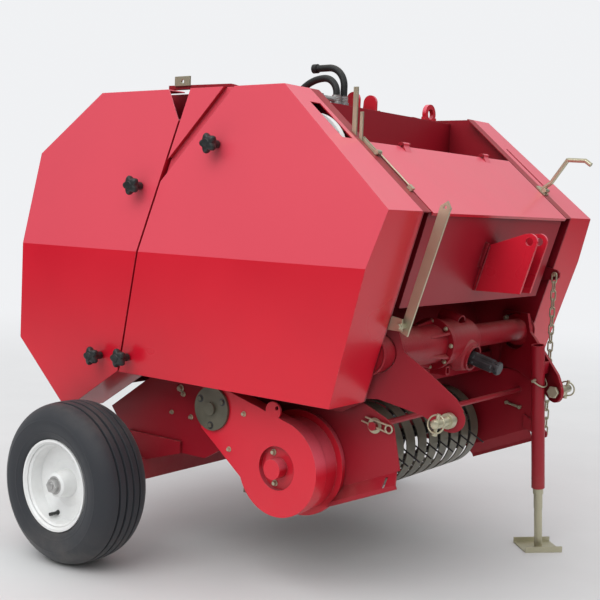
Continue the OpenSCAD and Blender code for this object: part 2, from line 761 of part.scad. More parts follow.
// Washers and spring clips on the guard rod's pins, a hooked rod on the left plate, and
// the locking pin of the stand with its wire bow
module retaining_clips() {
    color(zinc) {
        for (s = [0, 1]) mirror([0, s, 0]) {
            difference() {
                rod_y(guard, 18, -pi_y - 3, -pi_y);
                rod_y(guard, 10, -pi_y - 4, -pi_y + 1);
            }
            bar([clip_leg[0][0], -guard_y, clip_leg[0][1]],
                [clip_leg[1][0], -guard_y, clip_leg[1][1]], 2);
            bar([guard[0] - 22, -guard_y, guard[1] + 18], [guard[0] + 38, -guard_y, guard[1] + 8], 2);
            ring_y(guard + [42, -1], -guard_y, 9, 2);
        }
        bar([394, pi_y - 8, 386], [435, pi_y - 8, 378], 3);
        for (p = [[394, 386], [435, 378]]) rod_y(p, 5, pi_y - 11, pi_y - 4);
        stand_frame() translate([0, 0, lock_s]) {
            for (s = [0, 1]) mirror([0, s, 0]) translate([0, sleeve_d / 2 - 2, 0])
                rotate([-90, 0, 0]) cylinder(d = lock_d, h = 17);
            rotate([0, 42, 0]) intersection() {
                rotate_extrude() translate([29, 0]) circle(r = 2, $fn = 16);
                translate([0, -40, -10]) cube([40, 80, 20]);
            }
        }
    }
}

// Stripper band: a half round front with a leg above and one below
module band(y) {
    leg = reel_c[0] - rail_x;
    translate([reel_c[0], y + band_w / 2, reel_c[1]]) rotate([90, 0, 0])
        linear_extrude(band_w) {
            difference() {
                circle(r = band_r);
                circle(r = band_r - 3);
                translate([-2 * band_r, -band_r]) square([2 * band_r, 2 * band_r]);
            }
            for (z = [band_r - 3, -band_r]) translate([-leg, z]) square([leg, 3]);
        }
}
band_n = 11;
module stripper_bands() {
    color(olive) {
        for (i = [0 : band_n - 1]) band((i - (band_n - 1) / 2) * band_pitch);
        // Rails that the bands' ends sit on
        for (z = [reel_c[1] + band_r - 15, reel_c[1] - band_r + 3])
            translate([rail_x, -pi_y + 4, z]) cube([14, 2 * pi_y - 8, 12]);
    }
}

// Reel: a shaft, two end discs and three tine bars, each with a tine in every gap
// between the bands; the tines trail behind their bar
tine_bar = 8;
tine_ring = 72;
module tine_reel() {
    end = pi_y - 19;
    color(steel) {
        rod_y(reel_c, reel_shaft, -pi_y - 30, pi_y + 6);
        for (s = [0, 1]) mirror([0, s, 0]) rod_y(reel_c, tine_ring + tine_bar + 2, -end, -end + 6);
    }
    for (a = [20.6 : 120 : 300]) {
        c = reel_c + tine_ring * [cos(a), sin(a)];
        tip = reel_c + tine_r * [cos(a - 29), sin(a - 29)];
        color(steel) rod_y(c, tine_bar, -end + 3, end - 3);
        color(black) for (i = [0 : band_n - 2]) {
            y = (i - (band_n - 2) / 2) * band_pitch;
            bar([c[0], y, c[1]], [tip[0], y, tip[1]], tine_d / 2);
        }
    }
}

// Drive case of the pick-up: a flat chain case that narrows to the rear, with a dish
// and a hub on the reel's axis, on a drum that stands on the side plate
case_y = fy + 75;
case_t = 40;
case_r = 116;
drum_flange = 128;
module pickup_drive_case() {
    color(red) {
        difference() {
            union() {
                slab([reel_c + [-240, 60], reel_c + [-20, -108.4], reel_c,
                      reel_c + case_r * [0.261, 0.965], reel_c + [-183, 169.5],
                      reel_c + [-240, 172]], -case_y, -case_y + case_t);
                rod_y(reel_c, case_r, -case_y, -case_y + case_t);
            }
            rod_y(reel_c, 52, -case_y - 1, -case_y + 12);
        }
        // Hub in the dish
        rod_y(reel_c, 24, -case_y - 18, -case_y + 12.5);
        // Lug with a hole on the case's upper edge
        difference() {
            rod_y(reel_c + [-16, 134], 22, -case_y, -case_y + 6);
            rod_y(reel_c + [-5, 142], 5, -case_y - 1, -case_y + 7);
        }
        // Drum and its flange
        difference() {
            union() {
                rod_y(reel_c, 112, -case_y + case_t, -pi_y);
                rod_y(reel_c, drum_flange, -pi_y - 12, -pi_y);
            }
            rod_y(reel_c, 80, -case_y + case_t, -pi_y + 1);
        }
    }
}

// Round cover of the rear shaft on the case's outer face, with its three bolts
disc_pos = reel_c + [-204, 113];
module case_disc() {
    color(olive) {
        rod_y(disc_pos, 54, -case_y - 7, -case_y);
        rod_y(disc_pos, 16, -case_y - 15, -case_y - 7);
        for (a = [30 : 120 : 270])
            rod_y(disc_pos + 41 * [cos(a), sin(a)], 5.5, -case_y - 11, -case_y - 7);
    }
}

// Front stand: the point of its axis on the ground, and the axis' lean to the right
stand_c = [538, 320];
stand_a = 7.8;
module stand_frame() {
    translate([stand_c[0], stand_c[1], 0]) rotate([stand_a, 0, 0]) children();
}
// Locking pin: its place along the axis and its diameter; the leg's holes are lock_step apart
lock_s = 490;
lock_d = 8;
lock_step = 76;
// Y of the left link bracket's inner face at x
function toe_y(x) = fi - link_toe * (x - link_root[0]) - 8 * norm([1, link_toe]);
module stand_sleeve() {
    lug = 498;
    root = stand_c[1] - lug * tan(stand_a);
    color(dark_red) difference() {
        union() {
            stand_frame() translate([0, 0, 180]) cylinder(d = sleeve_d, h = 403);
            // Lug between the sleeve and the link bracket
            translate([0, 0, lug]) linear_extrude(32) polygon([
                [stand_c[0] - 14, root], [stand_c[0] - 14, toe_y(stand_c[0] - 14)],
                [stand_c[0] + 14, toe_y(stand_c[0] + 14)], [stand_c[0] + 14, root]]);
        }
        stand_frame() {
            translate([0, 0, 170]) cylinder(d = sleeve_d - 2 * sleeve_t, h = 430);
            translate([0, -30, lock_s]) rotate([-90, 0, 0]) cylinder(d = lock_d + 0.1, h = 60);
        }
    }
}
module stand_leg() {
    leg_d = sleeve_d - 2 * sleeve_t - 0.6;
    color(zinc) stand_frame() difference() {
        union() {
            translate([0, 0, 3]) cylinder(d = 22, h = 120);
            translate([0, 0, 121]) cylinder(d = 24, h = 50);
            translate([0, 0, 163]) cylinder(d = leg_d, h = 350);
        }
        for (i = [0 : 2]) translate([0, -30, lock_s - i * lock_step])
            rotate([-90, 0, 0]) cylinder(d = lock_d + 1, h = 60);
    }
}
// Foot: a channel that lies flat, turned about the leg, with a seat for the leg
module stand_foot() {
    color(zinc) difference() {
        translate([stand_c[0] - 6, stand_c[1] + 8, 0]) rotate([0, 0, 47]) difference() {
            translate([-foot_l / 2, -foot_w / 2, 0]) cube([foot_l, foot_w, 16]);
            translate([-foot_l / 2 - 1, -foot_w / 2 + 4, 4]) cube([foot_l + 2, foot_w - 8, 20]);
        }
        stand_frame() translate([0, 0, 3]) cylinder(d = 22, h = 20);
    }
}

// Chain that holds the pick-up's height, hung from a lug on the left side plate
chain_x = 512;
chain_y = fi - 15;
chain_z = 760;
module chain_link(z, turn) {
    translate([chain_x, chain_y, z]) rotate([90, 0, turn]) linear_extrude(4, center = true)
        difference() {
            union() {
                for (z = [0, -16]) translate([0, z]) circle(r = 9);
                translate([-9, -16]) square([18, 16]);
            }
            for (z = [0, -16]) translate([0, z]) circle(r = 5);
            translate([-5, -16]) square([10, 16]);
        }
}
module lift_chain() {
    color(zinc) {
        for (i = [0 : 18]) chain_link(chain_z - i * 24, 90 * (i % 2));
        rod_y([chain_x, chain_z + 0.5], 4.4, chain_y - 6, fi - 6);
        slab([[470, chain_z - 16], [470, chain_z + 24], [chain_x + 10, chain_z + 12],
              [chain_x + 10, chain_z - 12]], fi - 6, fi);
        // Lug and pin on the pick-up's side plate
        rod_y([chain_x, chain_z - 448.5], 4.4, pi_y - 10, chain_y + 6);
        slab([[450, 322], [450, 360], [chain_x + 10, chain_z - 434], [chain_x + 10, chain_z - 460]],
             pi_y - 10, pi_y - 4);
    }
}

module gate_side() {
    color(dark_red) {
        difference() {
            slab(rear_outline, -fy, -fi);
            rod_y(pt_hinge, 24, -fy - 1, -fi + 1);
        }
        // Hinge strap with its ear round the pin
        difference() {
            union() {
                rod_y(pt_hinge, 20, -fy - 13, -fy - 6);
                slab([pt_hinge + [-6, 18], pt_hinge + [-110, -30], pt_hinge + [-130, -80],
                      pt_hinge + [-20, -20]], -fy - 13, -fy - 6);
            }
            rod_y(pt_hinge, hinge_r + fit, -fy - 20, -fy);
        }
        rod_y(pt_hinge + [-108, -52], 10, -fy - 6, -fy);
    }
}
module gate_side_right() { gate_side(); }
module gate_side_left() { left() gate_side(); }

module gate_skin() {
    p = [pt_back_top + [180, -46], pt_back_top + [10, -46], pt_back + [40, -20], pt_back_low + [40, 8],
         pt_tail + [-20, 45], pt_tail + [60, 60]];
    q = inset(p, -3);
    color(dark_red) slab([for (i = [0 : 5]) p[i], for (i = [5 : -1 : 0]) q[i]], -fi, fi);
}

module gate_rollers() {
    color(steel) for (i = [0 : 6]) roller(ring(split_a + (i + 0.5) * roller_step));
}

module rear_cover() {
    color(red) difference() {
        pan(rear_outline, [5]);
        // Room for the hinge bracket's web
        slab([[-400, hinge_z - 60], [200, hinge_z - 60], [200, 1400], [-400, 1400]],
             -fy - 40, -fy + 1);
        for (c = rear_studs) rod_y(c, 6, -600, -fy);
    }
}
module rear_cover_right() { rear_cover(); }
module rear_cover_left() { left() rear_cover(); }
module rear_knobs() {
    color(black) {
        for (c = rear_studs) knob(c, cover_y(c[1]));
        left() for (c = rear_studs) knob(c, cover_y(c[1]));
    }
}

frame_side_right();
frame_side_left();
cross_members();
top_cross_plate();
lifting_eye();
hinge_brackets();
hinge_pins();
twine_box();
top_link_bracket();
link_bracket_right();
link_bracket_left();
lower_link_pins();
gearbox();
pto_stub();
front_cover_right();
front_cover_left();
corner_plates();
front_knobs();
side_disc();
control_levers();
indicator_bar();
crank_handle();
hydraulic_hoses();
hose_fittings();
front_rollers();
feed_roller();
axle_beam();
pickup_sides();
retaining_clips();
stripper_bands();
pickup_drive_case();
case_disc();
tine_reel();
stand_sleeve();
stand_leg();
stand_foot();
lift_chain();
lid();
gate_side_right();
gate_side_left();
gate_skin();
gate_rollers();
rear_cover_right();
rear_cover_left();
rear_knobs();
tyre_right();
tyre_left();
rim_right();
rim_left();
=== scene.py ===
import json
import math

import bmesh
import bpy
import numpy as np
from bpy.props import FloatProperty, FloatVectorProperty, IntProperty, PointerProperty
from bpy.types import Operator, Panel, PropertyGroup
from mathutils import Matrix, Vector


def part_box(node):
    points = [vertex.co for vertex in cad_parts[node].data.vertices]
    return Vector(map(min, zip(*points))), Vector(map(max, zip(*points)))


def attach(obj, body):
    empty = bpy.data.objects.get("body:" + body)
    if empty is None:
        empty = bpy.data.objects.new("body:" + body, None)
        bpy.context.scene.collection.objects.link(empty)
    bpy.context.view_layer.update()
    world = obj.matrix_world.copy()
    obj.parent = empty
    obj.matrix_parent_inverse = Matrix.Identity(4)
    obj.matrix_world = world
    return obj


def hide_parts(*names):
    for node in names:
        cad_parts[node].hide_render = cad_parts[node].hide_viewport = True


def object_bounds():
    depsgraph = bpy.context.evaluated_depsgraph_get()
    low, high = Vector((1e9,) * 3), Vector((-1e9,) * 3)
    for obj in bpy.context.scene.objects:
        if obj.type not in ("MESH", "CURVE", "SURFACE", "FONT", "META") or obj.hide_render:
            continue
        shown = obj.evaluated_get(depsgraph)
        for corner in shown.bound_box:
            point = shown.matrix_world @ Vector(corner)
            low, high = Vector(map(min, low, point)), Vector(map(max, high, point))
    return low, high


bl_info = {
    "name": "Round Baler Finish",
    "version": (1, 0, 0),
    "blender": (4, 5, 0),
    "location": "3D View > Sidebar > Baler",
    "description": "Finishes, fasteners, tyres, hoses and studio for the packed round baler",
    "category": "Object",
}

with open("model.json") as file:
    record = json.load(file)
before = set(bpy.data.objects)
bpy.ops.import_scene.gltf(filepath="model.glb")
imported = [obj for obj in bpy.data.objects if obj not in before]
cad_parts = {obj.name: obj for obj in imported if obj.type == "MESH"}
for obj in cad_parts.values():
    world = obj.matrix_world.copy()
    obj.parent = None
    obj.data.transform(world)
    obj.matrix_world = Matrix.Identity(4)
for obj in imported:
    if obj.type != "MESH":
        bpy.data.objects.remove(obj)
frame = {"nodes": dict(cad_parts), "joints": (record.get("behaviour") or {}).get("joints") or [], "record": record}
packed_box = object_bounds()


# Node trees

class Graph:
    """A node tree with short calls that add a node, set its sockets and link them."""

    def __init__(self, tree):
        self.tree = tree

    def node(self, kind, sockets=None, **settings):
        """A new shader node, its settings, and values or links for its sockets."""
        made = self.tree.nodes.new(kind if kind.startswith("Node") else "ShaderNode" + kind)
        for name, value in settings.items():
            setattr(made, name, value)
        for name, value in (sockets or {}).items():
            self.feed(made.inputs[name], value)
        return made

    def feed(self, socket, value):
        """Link an output to a socket, or set the socket to a value."""
        if isinstance(value, bpy.types.NodeSocket):
            self.tree.links.new(value, socket)
        else:
            socket.default_value = value

    def math(self, operation, a, b=0.0, clamp=False):
        made = self.node("Math", {0: a, 1: b}, operation=operation, use_clamp=clamp)
        return made.outputs[0]

    def mix(self, factor, a, b):
        made = self.node("Mix", {0: factor, 6: a, 7: b}, data_type="RGBA", clamp_factor=True)
        return made.outputs[2]

    def noise(self, scale, detail=2.0, roughness=0.5):
        """Noise over the object's coordinates."""
        made = self.node("TexNoise", {"Vector": self.place(), "Scale": scale, "Detail": detail,
                                      "Roughness": roughness})
        return made.outputs["Fac"]

    def smooth(self, value, *ends):
        """A soft step of a value between two ends, from 0 to 1 or between two more ends."""
        sockets = dict(enumerate((value, *ends)))
        return self.node("MapRange", sockets, interpolation_type="SMOOTHSTEP").outputs[0]

    def place(self, which="Object"):
        """Object coordinates, or another output of the coordinate node."""
        return self.node("TexCoord").outputs[which]

    def upward(self, which):
        """The Z part of an output of the coordinate node."""
        return self.node("SeparateXYZ", {"Vector": self.place(which)}).outputs["Z"]


NUMBER, COLOUR, ARROW = "NodeSocketFloat", "NodeSocketColor", "NodeSocketVector"
# Cosines of the angle between a face's normal and the bevelled one, on flats and on edges
FLAT_COSINE, SHARP_COSINE = 0.995, 0.86


def shared_group(name, inputs, outputs):
    """Turn a function that draws a node group from its graph and its inputs, and gives back
    its outputs by name, into one that returns the group and draws it only once."""
    def wrap(draw):
        def find():
            if name not in bpy.data.node_groups:
                tree = bpy.data.node_groups.new(name, "ShaderNodeTree")
                for label, kind, value in inputs:
                    socket = tree.interface.new_socket(label, in_out="INPUT", socket_type=kind)
                    socket.default_value = value
                for label, kind in outputs:
                    tree.interface.new_socket(label, in_out="OUTPUT", socket_type=kind)
                graph = Graph(tree)
                given = graph.node("NodeGroupInput").outputs
                graph.node("NodeGroupOutput", draw(graph, given))
            return bpy.data.node_groups[name]
        find.__doc__ = draw.__doc__
        return find
    return wrap


@shared_group("baler edge wear", [("Radius", NUMBER, 0.0015), ("Breakup", NUMBER, 60.0)],
              [("Mask", NUMBER), ("Normal", ARROW)])
def edge_wear_and_highlight_group(graph, given):
    """Rounded edges: the normal of a small bevel, and a mask of the edges, broken up by
    noise, from the angle between that normal and the flat one."""
    bevel = graph.node("Bevel", {"Radius": given["Radius"]}, samples=4).outputs[0]
    flat = graph.node("NewGeometry").outputs["Normal"]
    turn = graph.node("VectorMath", {0: bevel, 1: flat}, operation="DOT_PRODUCT")
    sharp = graph.smooth(turn.outputs["Value"], FLAT_COSINE, SHARP_COSINE)
    speckle = graph.noise(given["Breakup"], detail=5.0, roughness=0.65)
    mask = graph.math("MULTIPLY", sharp, graph.smooth(speckle, 0.48, 0.66))
    return {"Mask": mask, "Normal": bevel}


@shared_group("baler shelter", [("Distance", NUMBER, 0.14)], [("Mask", NUMBER)])
def corner_shade_group(graph, given):
    """Shelter: a mask of the points that what stands round them closes in."""
    sky = graph.node("AmbientOcclusion", {"Distance": given["Distance"]}, samples=6)
    return {"Mask": graph.smooth(sky.outputs["AO"], 0.9, 0.2)}


@shared_group("baler dust", [("Amount", NUMBER, 0.5), ("Low", NUMBER, 0.35),
                             ("Scale", NUMBER, 9.0)], [("Mask", NUMBER)])
def dust_group(graph, given):
    """Dust: more of it on faces that look up and near the ground, broken up by noise."""
    lying = graph.smooth(graph.upward("Normal"), 0.2, 1.0, 0.0, 0.75)
    splash = graph.smooth(graph.upward("Object"), given["Low"], 0.0)
    both = graph.math("ADD", lying, splash, True)
    cloud = graph.noise(given["Scale"], detail=6.0, roughness=0.7)
    mask = graph.math("MULTIPLY", both, graph.smooth(cloud, 0.35, 0.7))
    return {"Mask": graph.math("MULTIPLY", mask, given["Amount"], True)}


@shared_group("baler sprayed sheet", [("Waves", NUMBER, 1.0), ("Peel", NUMBER, 0.15),
                                      ("Peel Scale", NUMBER, 380.0)],
              [("Height", NUMBER), ("Shade", NUMBER)])
def sheet_group(graph, given):
    """Height of a sprayed sheet: shallow waves a hand wide, and the fine peel of the paint."""
    broad = graph.noise(2.4, detail=0.0, roughness=0.4)
    fine = graph.noise(given["Peel Scale"], detail=1.0)
    height = graph.math("ADD", graph.math("MULTIPLY", broad, given["Waves"]),
                        graph.math("MULTIPLY", fine, given["Peel"]))
    return {"Height": height, "Shade": graph.noise(2.1, detail=3.0, roughness=0.55)}


@shared_group("baler plating", [("Tint", COLOUR, (0.7, 0.6, 0.4, 1)),
                                ("Second Tint", COLOUR, (0.6, 0.6, 0.55, 1)),
                                ("Scale", NUMBER, 30.0)],
              [("Color", COLOUR), ("Roughness", NUMBER), ("Height", NUMBER)])
def plating_group(graph, given):
    """Plating: soft clouds between two tints, and a fine grain in roughness and height."""
    cloud = graph.smooth(graph.noise(given["Scale"]), 0.25, 0.75)
    scratch = graph.noise(620.0, detail=3.0, roughness=0.7)
    return {"Color": graph.mix(cloud, given["Tint"], given["Second Tint"]),
            "Roughness": graph.smooth(scratch, 0.3, 0.8, 0.28, 0.5), "Height": scratch}


@shared_group("baler coarse skin", [("Scale", NUMBER, 260.0), ("Pits", NUMBER, 0.5)],
              [("Height", NUMBER), ("Shade", NUMBER)])
def cast_group(graph, given):
    """Height of a cast or rubbery skin: coarse pits of cell noise over a fine grain."""
    cells = graph.node("TexVoronoi", {"Vector": graph.place(), "Scale": given["Scale"]})
    pits = graph.math("MULTIPLY", cells.outputs["Distance"], given["Pits"])
    grain = graph.noise(given["Scale"], detail=3.0, roughness=0.6)
    return {"Height": graph.math("ADD", pits, grain),
            "Shade": graph.noise(14.0, detail=4.0, roughness=0.6)}


# Materials

def new_material(name):
    """An empty material, its graph and its Principled shader."""
    material = bpy.data.materials.new(name)
    material.use_nodes = True
    material.node_tree.nodes.clear()
    graph = Graph(material.node_tree)
    shader = graph.node("BsdfPrincipled")
    graph.node("OutputMaterial", {"Surface": shader.outputs[0]})
    return material, graph, shader


def use_group(graph, tree, **sockets):
    """The group placed in a graph, with its sockets set by name."""
    named = {name.replace("_", " "): value for name, value in sockets.items()}
    return graph.node("Group", named, node_tree=tree).outputs


def shaded(colour, factor=1.0):
    """A setting's colour with full opacity, made darker or lighter by a factor."""
    return (*(min(1.0, c * factor) for c in tuple(colour)[:3]), 1.0)


def dress(graph, shader, base, dirt, roughness, bumps):
    """Feed a shader: dust over its base colour, its roughness, and its bumps."""
    dust = shaded(bpy.context.scene.baler_finish.dust)
    graph.feed(shader.inputs["Base Color"], graph.mix(dirt["Mask"], base, dust))
    graph.feed(shader.inputs["Roughness"], roughness)
    graph.feed(shader.inputs["Normal"], graph.node("Bump", bumps).outputs[0])


def paint(name, tint, faded, roughness, waves, peel, dust, coat=0.0, painted_shade=0.6):
    """Sprayed paint: faded on faces that look up, paler on rubbed edges, darker in sheltered
    corners, with waves and peel in the surface."""
    looks = bpy.context.scene.baler_finish
    colour, faded = getattr(looks, tint), getattr(looks, faded)
    material, graph, shader = new_material(name)
    film = use_group(graph, sheet_group(), Waves=waves, Peel=peel)
    worn_and_highlit = use_group(graph, edge_wear_and_highlight_group(), Radius=0.0022)
    dirt = use_group(graph, dust_group(), Amount=dust)
    corner = use_group(graph, corner_shade_group())
    base = graph.mix(graph.smooth(film["Shade"], 0.3, 0.7), shaded(colour, 0.95),
                     shaded(colour, 1.05))
    # Faces that look up take a paler tint: painted sky reflection.
    base = graph.mix(graph.smooth(graph.upward("Normal"), -0.05, 0.3), base, shaded(faded))
    # Painted shade: the paint darkens where what stands round a point closes it in.
    base = graph.mix(graph.math("MULTIPLY", corner["Mask"], painted_shade), base, shaded(colour, 0.22))
    # Paler edges: rubbed paint, partly a painted highlight.
    base = graph.mix(graph.math("MULTIPLY", worn_and_highlit["Mask"], 0.5), base, shaded(looks.edge))
    rough = graph.smooth(film["Shade"], 0.2, 0.8, roughness * 0.85, roughness * 1.2)
    rough = graph.math("ADD", rough, graph.math("MULTIPLY", dirt["Mask"], 0.5), True)
    dress(graph, shader, base, dirt, rough,
          {"Height": film["Height"], "Normal": worn_and_highlit["Normal"], "Distance": 0.0012})
    shader.inputs["Specular IOR Level"].default_value = 0.4
    shader.inputs["Coat Weight"].default_value = coat
    shader.inputs["Coat Roughness"].default_value = 0.08
    return material


def metal(name, tint, second, metallic, dust, scale=30.0, grit=0.12):
    """Plated or bare steel: clouds between two shades, fine scratches, worn edges."""
    colour = getattr(bpy.context.scene.baler_finish, tint)
    material, graph, shader = new_material(name)
    plate = use_group(graph, plating_group(), Tint=shaded(colour),
                      Second_Tint=shaded(colour, second), Scale=scale)
    worn_and_highlit = use_group(graph, edge_wear_and_highlight_group(), Radius=0.001)
    dirt = use_group(graph, dust_group(), Amount=dust)
    rubbed = graph.math("MULTIPLY", worn_and_highlit["Mask"], 0.5)
    base = graph.mix(rubbed, plate["Color"], shaded(colour, second * 1.3))
    dull = graph.math("MULTIPLY", dirt["Mask"], 0.4)
    dress(graph, shader, base, dirt, graph.math("ADD", plate["Roughness"], dull, True),
          {"Height": plate["Height"], "Normal": worn_and_highlit["Normal"], "Strength": grit,
           "Distance": 0.0005})
    graph.feed(shader.inputs["Metallic"],
               graph.smooth(dirt["Mask"], 0.0, 1.0, metallic, metallic * 0.3))
    return material


def coarse(name, tint, roughness, dust, scale, pits, strength, shades=(0.85, 1.2), low=0.35,
           edge=0.0012, depth=0.0004, sheen=0.0):
    """Plastic, rubber or cast iron: two shades and two roughnesses in clouds, grainy skin."""
    colour = getattr(bpy.context.scene.baler_finish, tint)
    material, graph, shader = new_material(name)
    skin = use_group(graph, cast_group(), Scale=scale, Pits=pits)
    worn_and_highlit = use_group(graph, edge_wear_and_highlight_group(), Radius=edge)
    dirt = use_group(graph, dust_group(), Amount=dust, Low=low)
    base = graph.mix(skin["Shade"], *(shaded(colour, shade) for shade in shades))
    dress(graph, shader, base, dirt, graph.smooth(skin["Shade"], 0.2, 0.8, *roughness),
          {"Height": skin["Height"], "Normal": worn_and_highlit["Normal"], "Strength": strength,
           "Distance": depth})
    shader.inputs["Sheen Weight"].default_value = sheen
    return material


# What makes each slot of the record, and with which settings
FINISHES = {
    "red_paint": (paint, dict(name="red_gloss_paint", tint="red", faded="faded_red",
                              roughness=0.3, waves=0.5, peel=0.03, dust=0.1, coat=0.15)),
    # Frame plates, lugs, rivets and welds take the darker red, which is painted shade.
    "dark_red_paint": (paint, dict(name="red_frame_paint", tint="dark_red", faded="dark_red",
                                   roughness=0.4, waves=0.3, peel=0.06, dust=0.2, painted_shade=0.85)),
    "cast_red": (coarse, dict(name="red_cast_paint", tint="cast_red", roughness=(0.32, 0.5),
                              dust=0.35, scale=240.0, pits=0.6, strength=0.5,
                              shades=(0.75, 1.15), edge=0.003, depth=0.0009)),
    "zinc": (metal, dict(name="yellow_zinc", tint="zinc", second=0.9, metallic=0.7, dust=0.05,
                         scale=14.0, grit=0.06)),
    "bare_steel": (metal, dict(tint="steel", second=0.7, metallic=0.65, dust=0.2)),
    "black_steel": (metal, dict(tint="black", second=2.2, metallic=0.5, dust=0.1)),
    "olive_steel": (metal, dict(tint="olive", second=0.62, metallic=0.35, dust=0.4,
                                scale=16.0)),
    "black_plastic": (coarse, dict(tint="plastic", roughness=(0.378, 0.483), dust=0.1,
                                   scale=700.0, pits=0.3, strength=0.25)),
    "white_plastic": (coarse, dict(tint="white", roughness=(0.27, 0.345), dust=0.08,
                                   scale=500.0, pits=0.1, strength=0.08)),
    "white_paint": (coarse, dict(name="white_rim_paint", tint="white", roughness=(0.288, 0.368),
                                 dust=0.22, scale=420.0, pits=0.2, strength=0.12, low=0.3)),
    "hose_rubber": (coarse, dict(tint="plastic", roughness=(0.495, 0.6325), dust=0.15,
                                 scale=900.0, pits=0.4, strength=0.3)),
    "tyre_rubber": (coarse, dict(tint="rubber", roughness=(0.54, 0.69), dust=0.12, scale=520.0,
                                 pits=0.4, strength=0.2, low=0.16, sheen=0.1)),
}
made_finishes = {}


def finish_of(slot):
    """The material of a slot of the record, made when it is first asked for."""
    if slot not in made_finishes:
        make, settings = FINISHES[slot]
        made_finishes[slot] = make(**{"name": slot, **settings})
    return made_finishes[slot]


# Settings

class FinishSettings(PropertyGroup):
    """Base colours of the machine's finishes, as linear colours."""
    red: FloatVectorProperty(
        name="Cover Red", description="Gloss paint of the covers and lid",
        subtype="COLOR", default=(0.66, 0.008, 0.026))
    # Paler red of faces that look up: a painted sky reflection.
    faded_red: FloatVectorProperty(
        name="Painted Sky Red", description="Covers' paint where it looks up",
        subtype="COLOR", default=(0.78, 0.11, 0.155))
    # Paler red of edges: rubbed paint, partly a painted highlight.
    edge: FloatVectorProperty(
        name="Rubbed Edge Highlight", description="Paint where edges have rubbed",
        subtype="COLOR", default=(0.78, 0.22, 0.22))
    # Darker copy of the cover red for the frame's plates: painted shade.
    dark_red: FloatVectorProperty(
        name="Shaded Frame Red", description="Paint of the frame's plates",
        subtype="COLOR", default=(0.34, 0.006, 0.018))
    cast_red: FloatVectorProperty(
        name="Cast Red", description="Paint of the gearbox castings",
        subtype="COLOR", default=(0.33, 0.006, 0.016))
    zinc: FloatVectorProperty(
        name="Zinc", description="Yellow plated levers, pins and chain",
        subtype="COLOR", default=(0.56, 0.53, 0.38))
    steel: FloatVectorProperty(
        name="Bare Steel", description="Rollers and shafts",
        subtype="COLOR", default=(0.56, 0.56, 0.55))
    black: FloatVectorProperty(
        name="Black Steel", description="Drive stub and spring tines",
        subtype="COLOR", default=(0.035, 0.035, 0.038))
    olive: FloatVectorProperty(
        name="Band Steel", description="Stripper bands of the pick-up",
        subtype="COLOR", default=(0.16, 0.15, 0.11))
    plastic: FloatVectorProperty(
        name="Black Plastic", description="Knobs and hoses",
        subtype="COLOR", default=(0.016, 0.018, 0.018))
    rubber: FloatVectorProperty(
        name="Tyre Rubber", description="Tyres",
        subtype="COLOR", default=(0.021, 0.024, 0.030))
    white: FloatVectorProperty(
        name="White", description="Rims and the side disc",
        subtype="COLOR", default=(0.80, 0.81, 0.80))
    dust: FloatVectorProperty(
        name="Dust", description="Dust that lies on the machine",
        subtype="COLOR", default=(0.42, 0.36, 0.29))


class DetailSettings(PropertyGroup):
    """Sizes of the tread, the chain and the spring tines."""
    grooves: IntProperty(
        name="Tread Grooves", description="Grooves along each tyre's tread",
        default=4, min=2, max=6)
    groove_width: FloatProperty(
        name="Groove Width", description="Width of a tread groove",
        unit="LENGTH", default=0.0055, min=0.003, max=0.01)
    groove_depth: FloatProperty(
        name="Groove Depth", description="Depth of a tread groove",
        unit="LENGTH", default=0.007, min=0.002, max=0.01)
    chain_wire: FloatProperty(
        name="Chain Wire", description="Diameter of the chain's wire",
        unit="LENGTH", default=0.0046, min=0.003, max=0.005)
    coil_turns: IntProperty(
        name="Coil Turns", description="Turns of each spring tine",
        default=3, min=2, max=4)


class StageSettings(PropertyGroup):
    """The camera of the photograph's view, the floor and the lamps."""
    eye: FloatVectorProperty(
        name="Camera Place", description="Where the camera stands",
        subtype="XYZ", unit="LENGTH", default=(1.713, -2.372, 0.909))
    heading: FloatProperty(
        name="Heading", description="Camera's turn to the left of +Y",
        subtype="ANGLE", default=math.radians(37.17))
    tilt: FloatProperty(
        name="Tilt", description="Camera's tilt above level",
        subtype="ANGLE", default=math.radians(-4.82))
    roll: FloatProperty(
        name="Roll", description="Camera's roll about its own axis",
        subtype="ANGLE", default=math.radians(2.25))
    lens: FloatProperty(
        name="Lens", description="Focal length on a 36 mm sensor, in millimetres",
        default=62.88, min=20.0, max=200.0)
    floor: FloatVectorProperty(
        name="Floor", description="Colour of the floor",
        subtype="COLOR", default=(0.64, 0.64, 0.635))
    key: FloatProperty(
        name="Key Lamp", description="Power of the large lamp, in watts",
        default=62.0, min=0.0)
    fill: FloatProperty(
        name="Fill Lamp", description="Power of the front lamp, in watts",
        default=5.0, min=0.0)
    sky: FloatProperty(
        name="Sky", description="Strength of the light from straight above",
        default=1.4, min=0.0)
    horizon: FloatProperty(
        name="Horizon", description="Strength of the light from the sides",
        default=0.22, min=0.0)
    mirrored: FloatProperty(
        name="Mirrored Sky", description="Share of the sky in reflections",
        default=0.55, min=0.0, max=1.0)
    background: FloatProperty(
        name="Background", description="Brightness behind the machine",
        default=0.9, min=0.0, max=1.0)


# Shapes, in millimetres: each is its points as one array and its faces as rows of four

FORWARD, ACROSS, UP = np.eye(3)
SIDES = (("right", -1.0), ("left", 1.0))
# Step from one stripper band, or one spring tine, to the next
BAND_STEP = 57.5
# Edges that bend more than this are shaded as sharp ones
SHARP_ANGLE = math.radians(34)


def quads(rows, columns, rows_close=False):
    """Faces between the neighbours of a grid of points kept row by row, whose rows are rings."""
    i, j = np.meshgrid(np.arange(rows if rows_close else rows - 1), np.arange(columns),
                       indexing="ij")
    i, j = i.ravel(), j.ravel()
    below, right = (i + 1) % rows, (j + 1) % columns
    return np.stack((i * columns + j, i * columns + right, below * columns + right,
                     below * columns + j), axis=1)


